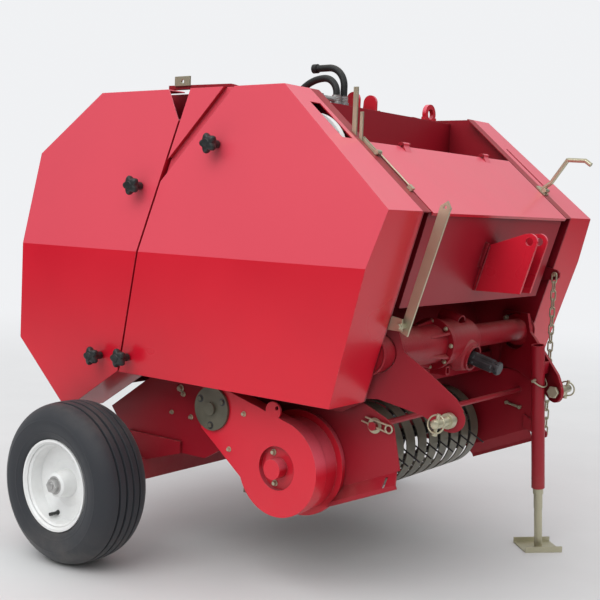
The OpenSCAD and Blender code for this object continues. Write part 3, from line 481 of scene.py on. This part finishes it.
def about(axis):
    """A unit arrow along an axis and two more, square to it and to each other."""
    ahead = np.asarray(axis, float) / np.linalg.norm(axis)
    side = np.cross(ahead, UP if abs(ahead[2]) < 0.9 else FORWARD)
    side = side / np.linalg.norm(side)
    return ahead, side, np.cross(ahead, side)


def turned(profile, place, axis, sides=32, swell=None, closed=False):
    """A profile turned about an axis: P(i, a) = place + s_i ahead + r_i (cos a side +
    sin a up). Each row of the profile is s and r, and swell(s, r, a) may change r."""
    s, r = np.asarray(profile, float).T[:, :, None]
    a = (np.arange(sides) * 2 * math.pi / sides)[None, :]
    r = r + 0 * a if swell is None else swell(s, r, a)
    ahead, side, up = about(axis)
    ring = np.cos(a)[..., None] * side + np.sin(a)[..., None] * up
    points = np.asarray(place, float) + s[..., None] * ahead + r[..., None] * ring
    return points.reshape(-1, 3), quads(len(s), sides, closed)


def swept(path, radius, flat, sides=8, closed=False):
    """A round section carried along a path: P(i, a) = path_i + r_i (cos a n_i + sin a b_i),
    where n_i is square to the path and to the arrow flat. Open ends close to a point."""
    path = np.asarray(path, float)
    radius = np.broadcast_to(np.asarray(radius, float), (len(path),))
    if closed:
        ahead = np.roll(path, -1, axis=0) - np.roll(path, 1, axis=0)
    else:
        ahead = np.gradient(path, axis=0)
        path, ahead = (np.concatenate((p[:1], p, p[-1:])) for p in (path, ahead))
        radius = np.concatenate(([0.0], radius, [0.0]))
    n = np.cross(ahead, flat)
    n /= np.linalg.norm(n, axis=1, keepdims=True)
    b = np.cross(ahead, n)
    b /= np.linalg.norm(b, axis=1, keepdims=True)
    a = (np.arange(sides) * 2 * math.pi / sides)[None, :, None]
    ring = np.cos(a) * n[:, None] + np.sin(a) * b[:, None]
    points = path[:, None] + radius[:, None, None] * ring
    return points.reshape(-1, 3), quads(len(path), sides, closed)


def prism(ring, arrow):
    """A ring of corners carried along an arrow; both ends are fans about the ring's middle."""
    ring = np.asarray(ring, float)
    heart = np.broadcast_to(ring.mean(axis=0), ring.shape)
    return np.concatenate((heart, ring, ring + arrow, heart + arrow)), quads(4, len(ring))


def plate(outline, low, high):
    """An outline of [x, z] corners made solid from y = low to y = high."""
    x, z = np.asarray(outline, float).T
    return prism(np.column_stack((x, np.full_like(x, low), z)), (high - low) * ACROSS)


def circle(place, axis, radius, count, start=0.0):
    """Points on a circle about an axis, the first at the angle start."""
    _, side, up = about(axis)
    a = start + np.arange(count)[:, None] * 2 * math.pi / count
    return np.asarray(place, float) + radius * (np.cos(a) * side + np.sin(a) * up)


def bolt(place, axis, across, stud=False):
    """A washer, a hexagon with a chamfer and, for a nut, the rounded end of its stud."""
    corner, high = across / math.sqrt(3), across * 0.62
    shapes = [turned([(-0.5, 0), (-0.5, across * 0.78), (1.1, across * 0.78), (1.5, across * 0.72),
                      (1.5, 0)], place, axis, 24),
              turned([(1.0, 0), (1.0, corner), (high, corner), (high + 1.6, corner * 0.86),
                      (high + 1.6, 0)], place, axis, 6)]
    if stud:
        shapes.append(turned([(1.2, 0), (1.2, across * 0.3), (high + 4, across * 0.3),
                              (high + 5.2, across * 0.22), (high + 5.2, 0)], place, axis, 16))
    return shapes


def dome(place, axis, radius):
    """A rivet head: the cap of a ball, r = radius cos t and s = radius / 2 sin t."""
    t = np.linspace(0, math.pi / 2, 6)
    cap = np.column_stack((0.5 * radius * np.sin(t), radius * np.cos(t)))
    return turned(np.vstack(([(-0.5, 0), (-0.5, radius)], cap)), place, axis, 20)


def bead(path, flat, size, closed=False):
    """A weld: a round section along a path whose radius ripples by a tenth every 3 points."""
    ripple = size * (1 + 0.1 * np.cos(np.arange(len(path)) * 2 * math.pi / 3))
    return swept(path, ripple, flat, 8, closed)


def line(start, end, spacing=2.0):
    """Evenly spaced points from start to end."""
    start, end = np.asarray(start, float), np.asarray(end, float)
    count = max(3, int(np.linalg.norm(end - start) / spacing))
    return start + np.linspace(0, 1, count)[:, None] * (end - start)


def rounded(corners, samples):
    """A closed outline as the quadratic B-spline of its corners: (1-t)^2/2 of the corner
    before, 1/2 + t - t^2 of the corner and t^2/2 of the next."""
    p = np.asarray(corners, float)
    t = np.linspace(0, 1, samples, endpoint=False)[None, :, None]
    before, after = np.roll(p, 1, axis=0)[:, None], np.roll(p, -1, axis=0)[:, None]
    spline = (1 - t) ** 2 / 2 * before + (0.5 + t - t * t) * p[:, None] + t * t / 2 * after
    return spline.reshape(-1, 2)


def even(outline, count):
    """The same closed outline with its points evenly spaced along it."""
    loop = np.vstack((outline, outline[:1]))
    along = np.concatenate(([0.0], np.cumsum(np.linalg.norm(np.diff(loop, axis=0), axis=1))))
    at = np.linspace(0, along[-1], count, endpoint=False)
    return np.column_stack([np.interp(at, along, loop[:, k]) for k in (0, 1)])


def corners_of(node):
    """A node's lowest and highest corners, in millimetres."""
    return [np.array(corner) * 1000 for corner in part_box(node)]


def joint_of(name):
    """Place, in millimetres, and axis of a joint."""
    joint = next(j for j in frame["joints"] if j["name"] == name)
    return np.array(joint["pos_m"]) * 1000, np.array(joint["axis"])


def new_object(name, data):
    """A new object of the data, in the scene."""
    made = bpy.data.objects.new(name, data)
    bpy.context.scene.collection.objects.link(made)
    return made


def add_piece(name, shapes, slot, body, replaced=()):
    """One object of several shapes, in metres, with soft shading across shallow edges. It
    takes its slot's finish, rides on its body and stands for the replaced nodes."""
    starts = np.cumsum([0] + [len(points) for points, _ in shapes[:-1]])
    points = np.concatenate([points for points, _ in shapes]) / 1000
    faces = np.concatenate([faces + start for (_, faces), start in zip(shapes, starts)])
    mesh = bpy.data.meshes.new(name)
    mesh.from_pydata(points, [], faces)
    shell = bmesh.new()
    shell.from_mesh(mesh)
    bmesh.ops.remove_doubles(shell, verts=shell.verts, dist=1e-6)
    bmesh.ops.recalc_face_normals(shell, faces=shell.faces)
    shell.to_mesh(mesh)
    shell.free()
    mesh.polygons.foreach_set("use_smooth", np.ones(len(mesh.polygons), dtype=bool))
    mesh.set_sharp_from_angle(angle=SHARP_ANGLE)
    mesh.materials.append(finish_of(slot))
    piece = new_object(name, mesh)
    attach(piece, body)
    if replaced:
        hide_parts(*replaced)


# Operators

class BALER_OT_finishes(Operator):
    """Give every packed node the material of its slot"""
    bl_idname = "baler.finishes"
    bl_label = "Finishes"

    def execute(self, context):
        for row in frame["record"]["subparts"]:
            node = frame["nodes"][row["node"]]
            material = finish_of(row["material_slot"])
            node.data.materials.clear()
            node.data.materials.append(material)
        return {"FINISHED"}


class BALER_OT_tyres(Operator):
    """Tyres with round shoulders, rings on their sidewalls and grooves along their tread"""
    bl_idname = "baler.tyres"
    bl_label = "Tyres"

    def execute(self, context):
        sizes = context.scene.baler_detail
        for side, _ in SIDES:
            low, high = corners_of("tyre_" + side)
            _, half, outer = (high - low) / 2
            rim_low, rim_high = corners_of("rim_" + side)
            shape = tyre_shape((low + high) / 2, outer, half, (rim_high - rim_low)[2] / 2, sizes)
            add_piece("tyre_surface_" + side, [shape], "tyre_rubber", "wheel_" + side,
                      ["tyre_" + side])
        return {"FINISHED"}


# Distance between grooves, width of a groove's flank, and depth that counts as tread
GROOVE_STEP, GROOVE_FLANK, TREAD = 22, 0.8, 14
# Rings on the sidewalls: height, spread, and distances from the rim and from the tread
RING_HEIGHT, RING_SPREAD, INNER_RING, OUTER_RING = 0.9, 1.6, 20, 40


def tyre_shape(middle, outer, half, rim, sizes):
    """The section of the packed tyre, rounded and turned: each groove takes its depth off the
    radius near its place across the tread, and each sidewall ring is a bell curve in the
    radius, exp(-((r - ring) / spread)^2), that moves the wall outwards."""
    near = [(half - 17, rim - 12), (half - 17, rim + 1), (half - 8, rim + 8), (half, rim + 40),
            (half - 4, outer - 32), (half - 22, outer - 9), (half - 48, outer)]
    s, r = even(rounded(near + [(-s, r) for s, r in reversed(near)], 12), 300).T
    tread = r > outer - TREAD
    for place in (np.arange(sizes.grooves) - (sizes.grooves - 1) / 2) * GROOVE_STEP:
        open_part = (sizes.groove_width * 500 - np.abs(s - place)) / GROOVE_FLANK
        r = r - tread * sizes.groove_depth * 1000 * np.clip(open_part, 0, 1)
    outward = (np.abs(s) > half / 2) * np.sign(s) * RING_HEIGHT
    for ring in (rim + INNER_RING, outer - OUTER_RING):
        s = s + outward * np.exp(-((r - ring) / RING_SPREAD) ** 2)
    return turned(np.column_stack((s, r)), middle, ACROSS, 128, closed=True)


class BALER_OT_wheel_parts(Operator):
    """Hub nuts and valves"""
    bl_idname = "baler.wheel_parts"
    bl_label = "Wheel Parts"

    # Distance of the hub's face from the middle plane of the wheel
    HUB_FACE = 64.0
    # Rows of distance from the hub's face and radius
    WASHER = ((-1.5, 0), (-1.5, 23), (1, 23), (2, 22), (2, 0))
    HEXAGON = ((1, 0), (1, 18.5), (12, 18.5), (14, 16), (14, 0))
    AXLE_END = ((1, 0), (1, 10), (16.5, 10), (17.5, 8.5), (17.5, 0))
    # Foot of the valve: distance from the axle, depth behind the hub's face, angle from +X
    VALVE_REACH, VALVE_DEPTH, VALVE_ANGLE = 88.0, 38.0, math.radians(250)
    # Rows of distance from the foot and radius
    VALVE = ((0, 0), (0, 6.5), (3, 6), (6, 4.2), (18, 3.8), (18.5, 4.6), (27, 4.4), (28, 3.4),
             (28, 0))

    def execute(self, context):
        spoke = np.array((math.cos(self.VALVE_ANGLE), 0, math.sin(self.VALVE_ANGLE)))
        for side, sign in SIDES:
            place, _ = joint_of(f"wheel_{side}_spin")
            out = sign * ACROSS
            hub = place + self.HUB_FACE * out
            nut = [turned(self.WASHER, hub, out), turned(self.HEXAGON, hub, out, 6),
                   turned(self.AXLE_END, hub, out)]
            add_piece("hub_nut_" + side, nut, "bare_steel", "wheel_" + side)
            foot = hub + self.VALVE_REACH * spoke - self.VALVE_DEPTH * out
            add_piece("valve_" + side, [turned(self.VALVE, foot, out, 20)], "black_plastic",
                      "wheel_" + side)
        return {"FINISHED"}


class BALER_OT_knobs(Operator):
    """Star knobs with five soft lobes, in place of the plain ones"""
    bl_idname = "baler.knobs"
    bl_label = "Knobs"

    # Name, body, and each knob of one side as x, z and the cover's half width there
    GROUPS = (("front", "chassis", ((47, 1059, 517.1), (-214, 526, 539.2))),
              ("rear", "tailgate", ((-190, 957, 532.9), (-314, 520, 538.8))))
    # Radius of the rod that runs in to the side plate
    ROD = 5.0
    # Distance out of the cover, radius between the lobes and height of the lobes
    ROWS = np.array([(3, 5, 0), (3, 9.2, 0), (5, 10, 0), (21, 10, 0), (25, 12.5, 0.5), (27, 15, 4),
                     (29, 16.2, 7), (33, 16.8, 8.2), (38, 16.6, 8), (41.5, 15.6, 6.4),
                     (43.4, 14, 3.6), (44.2, 12, 1), (44.4, 10.4, 0), (45.2, 9.6, 0), (46.8, 9, 0),
                     (47, 8, 0), (46.4, 6.5, 0), (46.4, 0, 0)])

    def execute(self, context):
        _, plate_corner = corners_of("frame_side_left")
        for group, body, places in self.GROUPS:
            shapes = []
            for _, sign in SIDES:
                for x, z, half in places:
                    root = plate_corner[1] - half
                    rows = np.vstack(([(root, 0, 0), (root, self.ROD, 0)], self.ROWS))
                    shapes.append(self.star(rows, (x, sign * half, z), sign * ACROSS))
            add_piece(group + "_star_knobs", shapes, "black_plastic", body, [group + "_knobs"])
        return {"FINISHED"}

    def star(self, rows, place, axis):
        """The rows turned, with r + height (1/2 + 1/2 cos(5 a))^(3/4) as their radius."""
        height = rows[:, 2:3]
        return turned(rows[:, :2], place, axis, 80,
                      lambda s, r, a: r + height * (0.5 + 0.5 * np.cos(5 * a)) ** 0.75)


class BALER_OT_drive_stub(Operator):
    """Drive stub with six splines, a lock groove and a chamfered end"""
    bl_idname = "baler.drive_stub"
    bl_label = "Drive Stub"

    # Distance along the axis, radius, and share of the splines' depth
    ROWS = np.array([(-44.7, 0, 0), (-44.7, 28.9, 0), (-26.3, 28.9, 0), (-26.3, 17.5, 0),
                     (5, 17.5, 0), (8, 17.5, 1), (57, 17.5, 1), (59, 15.2, 0), (66, 15.2, 0),
                     (68, 17.5, 1), (74.5, 17.5, 1), (77, 15.5, 0.4), (77, 0, 0)])
    # Section of the seal round the shaft, and depth of the splines
    SEAL, SPLINE_DEPTH = ((-19, 17), (-19, 27.5), (-15, 27.5), (-14, 26), (-14, 17)), 2.3

    def execute(self, context):
        place, axis = joint_of("drive_spin")
        cut = self.SPLINE_DEPTH * self.ROWS[:, 2:3]
        # Each spline's flank falls where cos(6 a) goes from 0.15 to -0.2
        shaft = turned(self.ROWS[:, :2], place, axis, 144,
                       lambda s, r, a: r - cut * np.clip((0.15 - np.cos(6 * a)) / 0.35, 0, 1))
        seal = turned(self.SEAL, place, axis, 64, closed=True)
        add_piece("splined_stub", [shaft, seal], "black_steel", "drive_input", ["pto_stub"])
        return {"FINISHED"}


class BALER_OT_chain(Operator):
    """Chain of welded round wire links, with its two lugs and pins"""
    bl_idname = "baler.chain"
    bl_label = "Chain"

    # Middle of the top link's upper bend, step from link to link, and number of links
    TOP, STEP, COUNT = np.array((512.0, 380.0, 760.0)), 24.0, 19
    # Half the width of a link and half the length of its straight sides
    HALF_WIDTH, HALF_STRAIGHT = 9.0, 8.0
    # Ends of the two pins, and their radius
    PINS = (((512, 374, 760.5), (512, 390, 760.5)), ((512, 367, 311.5), (512, 388, 311.5)))
    PIN_RADIUS = 3.9
    # Outlines of the two lugs as x and z, and their faces in y
    LUGS = ((((470, 744), (470, 784), (516, 774), (523, 766), (523, 754), (516, 747)), 389, 395),
            (((450, 322), (450, 360), (514, 326), (523, 316), (523, 306), (514, 301)), 366, 372))

    def execute(self, context):
        wire = context.scene.baler_detail.chain_wire * 500
        t = np.arange(28) * 2 * math.pi / 28
        bend = self.HALF_WIDTH - wire
        # The tiny angle puts the points at the sides' ends on one side each
        straight = self.HALF_STRAIGHT * np.sign(np.sin(t + 1e-9)) - self.HALF_STRAIGHT
        across, down = bend * np.cos(t), bend * np.sin(t) + straight
        shapes = []
        for i in range(self.COUNT):
            flat = (FORWARD, ACROSS)[i % 2]
            path = self.TOP - self.STEP * i * UP + across[:, None] * flat + down[:, None] * UP
            shapes.append(swept(path, wire, np.cross(flat, UP), 10, closed=True))
        shapes += [swept(line(*ends), self.PIN_RADIUS, UP, 16) for ends in self.PINS]
        add_piece("wire_chain", shapes, "zinc", "chassis", ["lift_chain"])
        # The lugs take the darker frame red, which is painted shade.
        add_piece("chain_lugs", [plate(*lug) for lug in self.LUGS], "dark_red_paint", "chassis")
        return {"FINISHED"}


class BALER_OT_tine_coils(Operator):
    """Coils of the spring tines round their bars"""
    bl_idname = "baler.tine_coils"
    bl_label = "Tine Coils"

    # Radii of the wire, of the bars' circle and of a coil, and gap between its turns
    WIRE, BAR_CIRCLE, COIL, GAP = 2.25, 72.0, 10.6, 0.3
    # Angles of the bars, angle of a coil's start from its bar, and number of tines on a bar
    BARS, START, TINES = np.radians((20.6, 140.6, 260.6)), math.radians(-118), 10

    def execute(self, context):
        centre, _ = joint_of("pickup_spin")
        turns = context.scene.baler_detail.coil_turns
        t = np.linspace(0, turns, 16 * turns + 1)
        shapes = []
        for bar in self.BARS:
            heart = centre + self.BAR_CIRCLE * np.array((math.cos(bar), 0, math.sin(bar)))
            angle = bar + self.START + 2 * math.pi * t
            helix = np.column_stack((self.COIL * np.cos(angle), t * (2 * self.WIRE + self.GAP),
                                     self.COIL * np.sin(angle)))
            for i in range(self.TINES):
                middle = heart + (i - (self.TINES - 1) / 2) * BAND_STEP * ACROSS
                shapes.append(swept(middle + helix, self.WIRE, ACROSS, 6))
        add_piece("tine_coils", shapes, "black_steel", "pickup_reel")
        return {"FINISHED"}


class BALER_OT_hitch_pins(Operator):
    """Hitch pins with a domed end, a collar and a hexagon nut, and their linch pins"""
    bl_idname = "baler.hitch_pins"
    bl_label = "Hitch Pins"

    # Distance of the brackets' outer face from the middle plane
    FACE = 287.5
    # Rows of distance from that face and radius
    COLLAR = ((9.2, 0), (9.2, 17), (10, 18), (25, 18), (26, 17), (26, 0))
    NUT = ((-28, 0), (-28, 14.6), (-26.4, 16.9), (-19.5, 16.9), (-18, 16), (-18, 0))
    # Linch pin: depth of its hole behind the pin's end, arrow along its shank, and shank and
    # head as start and end along that arrow, spacing of points and radius
    HOLE, LEAN = 13.0, np.array((0.18, 0.0, 1.0))
    SHANK = ((23, -20, 2.0, 4.4), (-19, -27, 1.0, 6.2))
    # Its ring: distance out of the hole, tilt, and radii of the ring and of the wire
    RING_OUT, RING_TILT, RING, RING_WIRE = 3, 0.25, 20.5, 2.1

    def execute(self, context):
        low, high = corners_of("lower_link_pins")
        x, z = (low[0] + high[0]) / 2, (low[2] + high[2]) / 2
        reach = high[1] - self.FACE
        pin = ((-24, 0), (-24, 10), (-23, 11), (reach - 4, 11), (reach - 1.5, 9.5), (reach, 6),
               (reach, 0))
        pins, clips = [], []
        for _, sign in SIDES:
            place, out = np.array((x, sign * self.FACE, z)), sign * ACROSS
            pins += [turned(pin, place, out, 40), turned(self.COLLAR, place, out, 40),
                     turned(self.NUT, place, out, 6)]
            heart = place + (reach - self.HOLE) * out
            for start, end, spacing, radius in self.SHANK:
                path = line(heart + start * self.LEAN, heart + end * self.LEAN, spacing)
                clips.append(swept(path, radius, ACROSS, 16))
            facing = out + self.RING_TILT * UP
            ring = circle(heart + self.RING_OUT * out, facing, self.RING, 40)
            clips.append(swept(ring, self.RING_WIRE, facing, 10, closed=True))
        add_piece("turned_hitch_pins", pins, "zinc", "chassis", ["lower_link_pins"])
        add_piece("linch_pins", clips, "zinc", "chassis")
        return {"FINISHED"}


class BALER_OT_fasteners(Operator):
    """Bolts of the frame, the gearbox and the drive case, and the twine box's rivets"""
    bl_idname = "baler.fasteners"
    bl_label = "Fasteners"

    # Bolts on outward faces of both sides: x, distance from the middle plane, z and width
    PLATE_BOLTS = ((-160, 400, 438, 13), (-150, 400, 424, 9), (-121, 400, 368, 9),
                   (-190, 400, 371, 8), (-90, 419, 1117, 17))
    # Bolts of the right side only, in the same form
    RIGHT_BOLTS = ((120, 475, 422, 8.5), (77, 475, 329, 8.5), (206, 463, 342, 10),
                   (213, 463, 269, 10), (494, 395, 664, 12))
    # Circles of bolts: middle, radius, number of bolts and their width
    BEARING_CIRCLE = ((-44, 410, 399), 43, 4, 10)
    TUBE_CIRCLE, CASE_CIRCLE = ((408, -105, 594), 57.5, 8, 7.5), ((408, 50, 594), 47, 6, 10)
    # Bolts on the inner faces of the toed in link brackets, and the way the left one looks
    LINK_BOLTS = ((374, 380.56, 628, 12), (386, 374.56, 572, 12))
    LINK_FACING = np.array((-0.447, -0.894, 0.0))
    # Bolts of the stripper bands: x and z, width, and number
    BAND_BOLT, BAND_BOLT_WIDTH, BANDS = (49, 423), 9, 11
    # Rivets of the twine box's sides: x, distance from the middle plane and z
    RIVETS, RIVET_RADIUS = ((392, 360, 867), (377, 360, 834), (362, 360, 801)), 4.5
    # Flat black discs round the bolts of the drive case's disc, painted shade of the sinks they
    # sit in, and the section of one
    SINK_CIRCLE = ((20, -482, 421), ACROSS, 41, 3, math.radians(-30))
    SINK = ((-0.2, 0), (-0.2, 9.5), (0.4, 9.5), (0.4, 0))

    def execute(self, context):
        shapes = []
        for _, sign in SIDES:
            for x, y, z, across in self.PLATE_BOLTS:
                shapes += bolt((x, sign * y, z), sign * ACROSS, across)
            shapes += self.ring_of_bolts(self.BEARING_CIRCLE, sign, sign)
            for x, y, z, across in self.LINK_BOLTS:
                shapes += bolt((x, sign * y, z), self.LINK_FACING * (1, sign, 1), across)
        for x, y, z, across in self.RIGHT_BOLTS:
            shapes += bolt((x, -y, z), -ACROSS, across)
        shapes += self.ring_of_bolts(self.TUBE_CIRCLE, 1, -1)
        shapes += self.ring_of_bolts(self.CASE_CIRCLE, 1, 1)
        add_piece("frame_bolts", shapes, "zinc", "chassis")
        band_bolts = []
        x, z = self.BAND_BOLT
        for y in (np.arange(self.BANDS) - (self.BANDS - 1) / 2) * BAND_STEP:
            band_bolts += bolt((x, y, z), UP, self.BAND_BOLT_WIDTH)
        add_piece("band_bolts", band_bolts, "bare_steel", "chassis")
        rivets = [dome((x, sign * y, z), sign * ACROSS, self.RIVET_RADIUS)
                  for _, sign in SIDES for x, y, z in self.RIVETS]
        add_piece("box_rivets", rivets, "dark_red_paint", "chassis")
        # Flat black discs painted as the shade in the sinks round the disc's bolts.
        bolt_shades = [turned(self.SINK, spot, -ACROSS, 32) for spot in circle(*self.SINK_CIRCLE)]
        add_piece("disc_sinks", bolt_shades, "black_steel", "chassis")
        return {"FINISHED"}

    def ring_of_bolts(self, ring, side, facing):
        """Bolts round a circle or its mirror image (side -1), facing left or right (-1)."""
        (x, y, z), radius, count, across = ring
        return [shape for spot in circle((x, side * y, z), ACROSS, radius, count)
                for shape in bolt(spot, facing * ACROSS, across)]


class BALER_OT_hose_ends(Operator):
    """Crimped sleeves and nuts where the hoses leave the sheet, and the elbow's nut"""
    bl_idname = "baler.hose_ends"
    bl_label = "Hose Ends"

    # Places of the hoses and of the pipe's elbow as x and y
    HOSES, ELBOW = ((136, -172), (136, -140)), (136, -242)
    # Crimped sleeve: start and end above the sheet, radius and height of its four waves
    SLEEVE = (6, 23, 11.6, 0.7)
    # Rows of height above the sheet and radius
    HOSE_NUT = ((0.5, 0), (0.5, 13.5), (6.4, 13.5), (7.4, 12), (7.4, 0))
    ELBOW_NUT = ((0, 0), (0, 11), (9, 11), (10, 10), (10, 0))

    def execute(self, context):
        sheet = corners_of("hose_fittings")[0][2]
        start, end, radius, height = self.SLEEVE
        t = np.linspace(0, 1, 45)
        wavy = radius + height * np.cos(8 * math.pi * t)
        sleeve = np.column_stack((start + (end - start) * t, wavy))
        sleeve = np.vstack(([(start, 0)], sleeve, [(end, 0)]))
        shapes = []
        for x, y in self.HOSES:
            shapes += [turned(sleeve, (x, y, sheet), UP, 32),
                       turned(self.HOSE_NUT, (x, y, sheet), UP, 6)]
        shapes.append(turned(self.ELBOW_NUT, (*self.ELBOW, sheet), UP, 6))
        add_piece("crimped_sleeves", shapes, "bare_steel", "chassis")
        return {"FINISHED"}


class BALER_OT_welds(Operator):
    """Weld beads round the gearbox tubes, the stub axles and along the brackets' feet"""
    bl_idname = "baler.welds"
    bl_label = "Welds"

    # Rings: middle, radius, number of points and radius of the bead
    TUBE_RINGS = (((408, -394.5, 594), 49.6, 150, 3.2), ((408, 394.5, 598), 45.6, 150, 3.2))
    AXLE_RING = ((-309, 529, 205), 15.6, 48, 2.6)
    # Straight beads of the left side: start, end, arrow square to the bead, and its radius
    STRAIGHT = (((359, 391, 492), (359, 391, 645), FORWARD, 3.4),
                ((485.4, 23.5, 732), (519.4, 23.5, 842), ACROSS, 2.4),
                ((485.4, 32.5, 732), (519.4, 32.5, 842), ACROSS, 2.4))
    # Six cast ribs round the gearbox's long tube: middle, half thickness, and corners of a
    # rib as radius and y
    TUBE, RIB_HALF = np.array((408, 0, 594)), 3.2
    RIB = ((46, -178), (49.5, -178), (62, -104), (46, -104))

    def execute(self, context):
        shapes = [self.ring_bead(*ring) for ring in self.TUBE_RINGS]
        for _, sign in SIDES:
            mirror = (1, sign, 1)
            middle, *sizes = self.AXLE_RING
            shapes.append(self.ring_bead(np.array(middle) * mirror, *sizes))
            for start, end, flat, radius in self.STRAIGHT:
                path = line(np.array(start) * mirror, np.array(end) * mirror)
                shapes.append(bead(path, flat, radius))
        ribs = []
        for a in np.radians(np.arange(6) * 60 + 30):
            out = np.array((math.cos(a), 0, math.sin(a)))
            thick = self.RIB_HALF * np.array((-math.sin(a), 0, math.cos(a)))
            corners = [self.TUBE + r * out + y * ACROSS for r, y in self.RIB]
            ribs.append(prism(np.array(corners) - thick, 2 * thick))
        add_piece("weld_beads", shapes, "dark_red_paint", "chassis")
        add_piece("gearbox_ribs", ribs, "cast_red", "chassis")
        return {"FINISHED"}

    def ring_bead(self, middle, radius, count, size):
        """A bead round a circle whose axis runs across the machine."""
        return bead(circle(middle, ACROSS, radius, count), ACROSS, size, closed=True)


# Colour of the background, distances at which the floor starts and ends to fade into it,
# and half the floor's side
BACKDROP, FADE_START, FADE_END, FLOOR_HALF = (0.97, 0.98, 1.0, 1.0), 1.6, 6.5, 30.0
# Area lamps: name, place, size, and the setting that holds the power
LAMPS = (("key_lamp", (0.2, -3.2, 3.4), 3.0, "key"), ("fill_lamp", (2.7, -0.4, 4.0), 2.4, "fill"))


class BALER_OT_stage(Operator):
    """Add the camera at the photograph's angle, the pale floor and the soft lamps"""
    bl_idname = "baler.stage"
    bl_label = "Stage"

    def execute(self, context):
        settings = context.scene.baler_stage
        add_camera(settings)
        add_floor(settings)
        add_lamps(settings)
        add_sky(settings)
        context.scene.view_settings.view_transform = "Standard"
        return {"FINISHED"}


def add_camera(settings):
    """Camera that is rolled, tilted up from the ground's normal and then turned."""
    data = bpy.data.cameras.new("photo_camera")
    data.lens = settings.lens
    data.sensor_width = 36.0
    data.clip_end = 60.0
    camera = new_object("photo_camera", data)
    camera.matrix_world = (Matrix.Translation(settings.eye)
                           @ Matrix.Rotation(settings.heading, 4, "Z")
                           @ Matrix.Rotation(math.pi / 2 + settings.tilt, 4, "X")
                           @ Matrix.Rotation(settings.roll, 4, "Z"))
    bpy.context.scene.camera = camera


def add_floor(settings):
    """Large flat square at ground level that fades into the background."""
    half = FLOOR_HALF
    mesh = bpy.data.meshes.new("studio_floor")
    mesh.from_pydata([(-half, -half, 0), (half, -half, 0), (half, half, 0), (-half, half, 0)],
                     [], [(0, 1, 2, 3)])
    floor = new_object("studio_floor", mesh)
    material, graph, shader = new_material("studio_floor")
    cloud = graph.noise(3.0, detail=6.0, roughness=0.6)
    base = graph.mix(graph.smooth(cloud, 0.3, 0.7), shaded(settings.floor, 0.97),
                     shaded(settings.floor))
    graph.feed(shader.inputs["Base Color"], base)
    shader.inputs["Roughness"].default_value = 0.85
    reach = graph.node("VectorMath", {0: graph.place()}, operation="LENGTH")
    fade = graph.smooth(reach.outputs["Value"], FADE_START, FADE_END)
    seen = graph.node("LightPath").outputs["Is Camera Ray"]
    strength = graph.math("MULTIPLY", seen, settings.background)
    glow = graph.node("Emission", {"Color": BACKDROP, "Strength": strength})
    both = graph.node("MixShader", {0: fade, 1: shader.outputs[0], 2: glow.outputs[0]})
    output = material.node_tree.nodes["Material Output"]
    graph.feed(output.inputs["Surface"], both.outputs[0])
    mesh.materials.append(material)


def add_lamps(settings):
    """Two wide area lamps, each aimed at the middle of the machine."""
    low, high = packed_box
    middle = (Vector(low) + Vector(high)) / 2
    for name, place, size, power in LAMPS:
        data = bpy.data.lights.new(name, "AREA")
        data.energy = getattr(settings, power)
        data.size = size
        lamp = new_object(name, data)
        lamp.location = place
        lamp.rotation_euler = (middle - Vector(place)).to_track_quat("-Z", "Y").to_euler()


def add_sky(settings):
    """Light strong from above and weak from the sides, and a pale background for the camera."""
    world = bpy.data.worlds.new("studio_sky")
    bpy.context.scene.world = world
    world.use_nodes = True
    world.node_tree.nodes.clear()
    graph = Graph(world.node_tree)
    path = graph.node("LightPath").outputs
    light = graph.smooth(graph.upward("Generated"), -0.1, 0.85, settings.horizon, settings.sky)
    mirrored = graph.smooth(path["Is Glossy Ray"], 0.0, 1.0, 1.0, settings.mirrored)
    light = graph.math("MULTIPLY", light, mirrored)
    strength = graph.smooth(path["Is Camera Ray"], 0.0, 1.0, light, settings.background)
    back = graph.node("Background", {"Color": BACKDROP, "Strength": strength})
    graph.node("OutputWorld", {"Surface": back.outputs[0]})


class BALER_PT_sidebar(Panel):
    """Lists the baler's operators in the sidebar"""
    bl_idname = "BALER_PT_sidebar"
    bl_label = "Baler"
    bl_space_type = "VIEW_3D"
    bl_region_type = "UI"
    bl_category = "Baler"

    def draw(self, context):
        for operator in OPERATORS:
            self.layout.operator(operator.bl_idname)


OPERATORS = (
    BALER_OT_finishes, BALER_OT_tyres, BALER_OT_wheel_parts, BALER_OT_knobs, BALER_OT_drive_stub,
    BALER_OT_chain, BALER_OT_tine_coils, BALER_OT_hitch_pins, BALER_OT_fasteners,
    BALER_OT_hose_ends, BALER_OT_welds, BALER_OT_stage)
CLASSES = (FinishSettings, DetailSettings, StageSettings, *OPERATORS, BALER_PT_sidebar)


def register():
    for item in CLASSES:
        bpy.utils.register_class(item)
    bpy.types.Scene.baler_finish = PointerProperty(type=FinishSettings)
    bpy.types.Scene.baler_detail = PointerProperty(type=DetailSettings)
    bpy.types.Scene.baler_stage = PointerProperty(type=StageSettings)


def unregister():
    del bpy.types.Scene.baler_finish
    del bpy.types.Scene.baler_detail
    del bpy.types.Scene.baler_stage
    for item in reversed(CLASSES):
        bpy.utils.unregister_class(item)


def main():
    register()
    for operator in OPERATORS:
        getattr(bpy.ops.baler, operator.bl_idname.split(".")[1])()


if __name__ == "__main__":
    main()
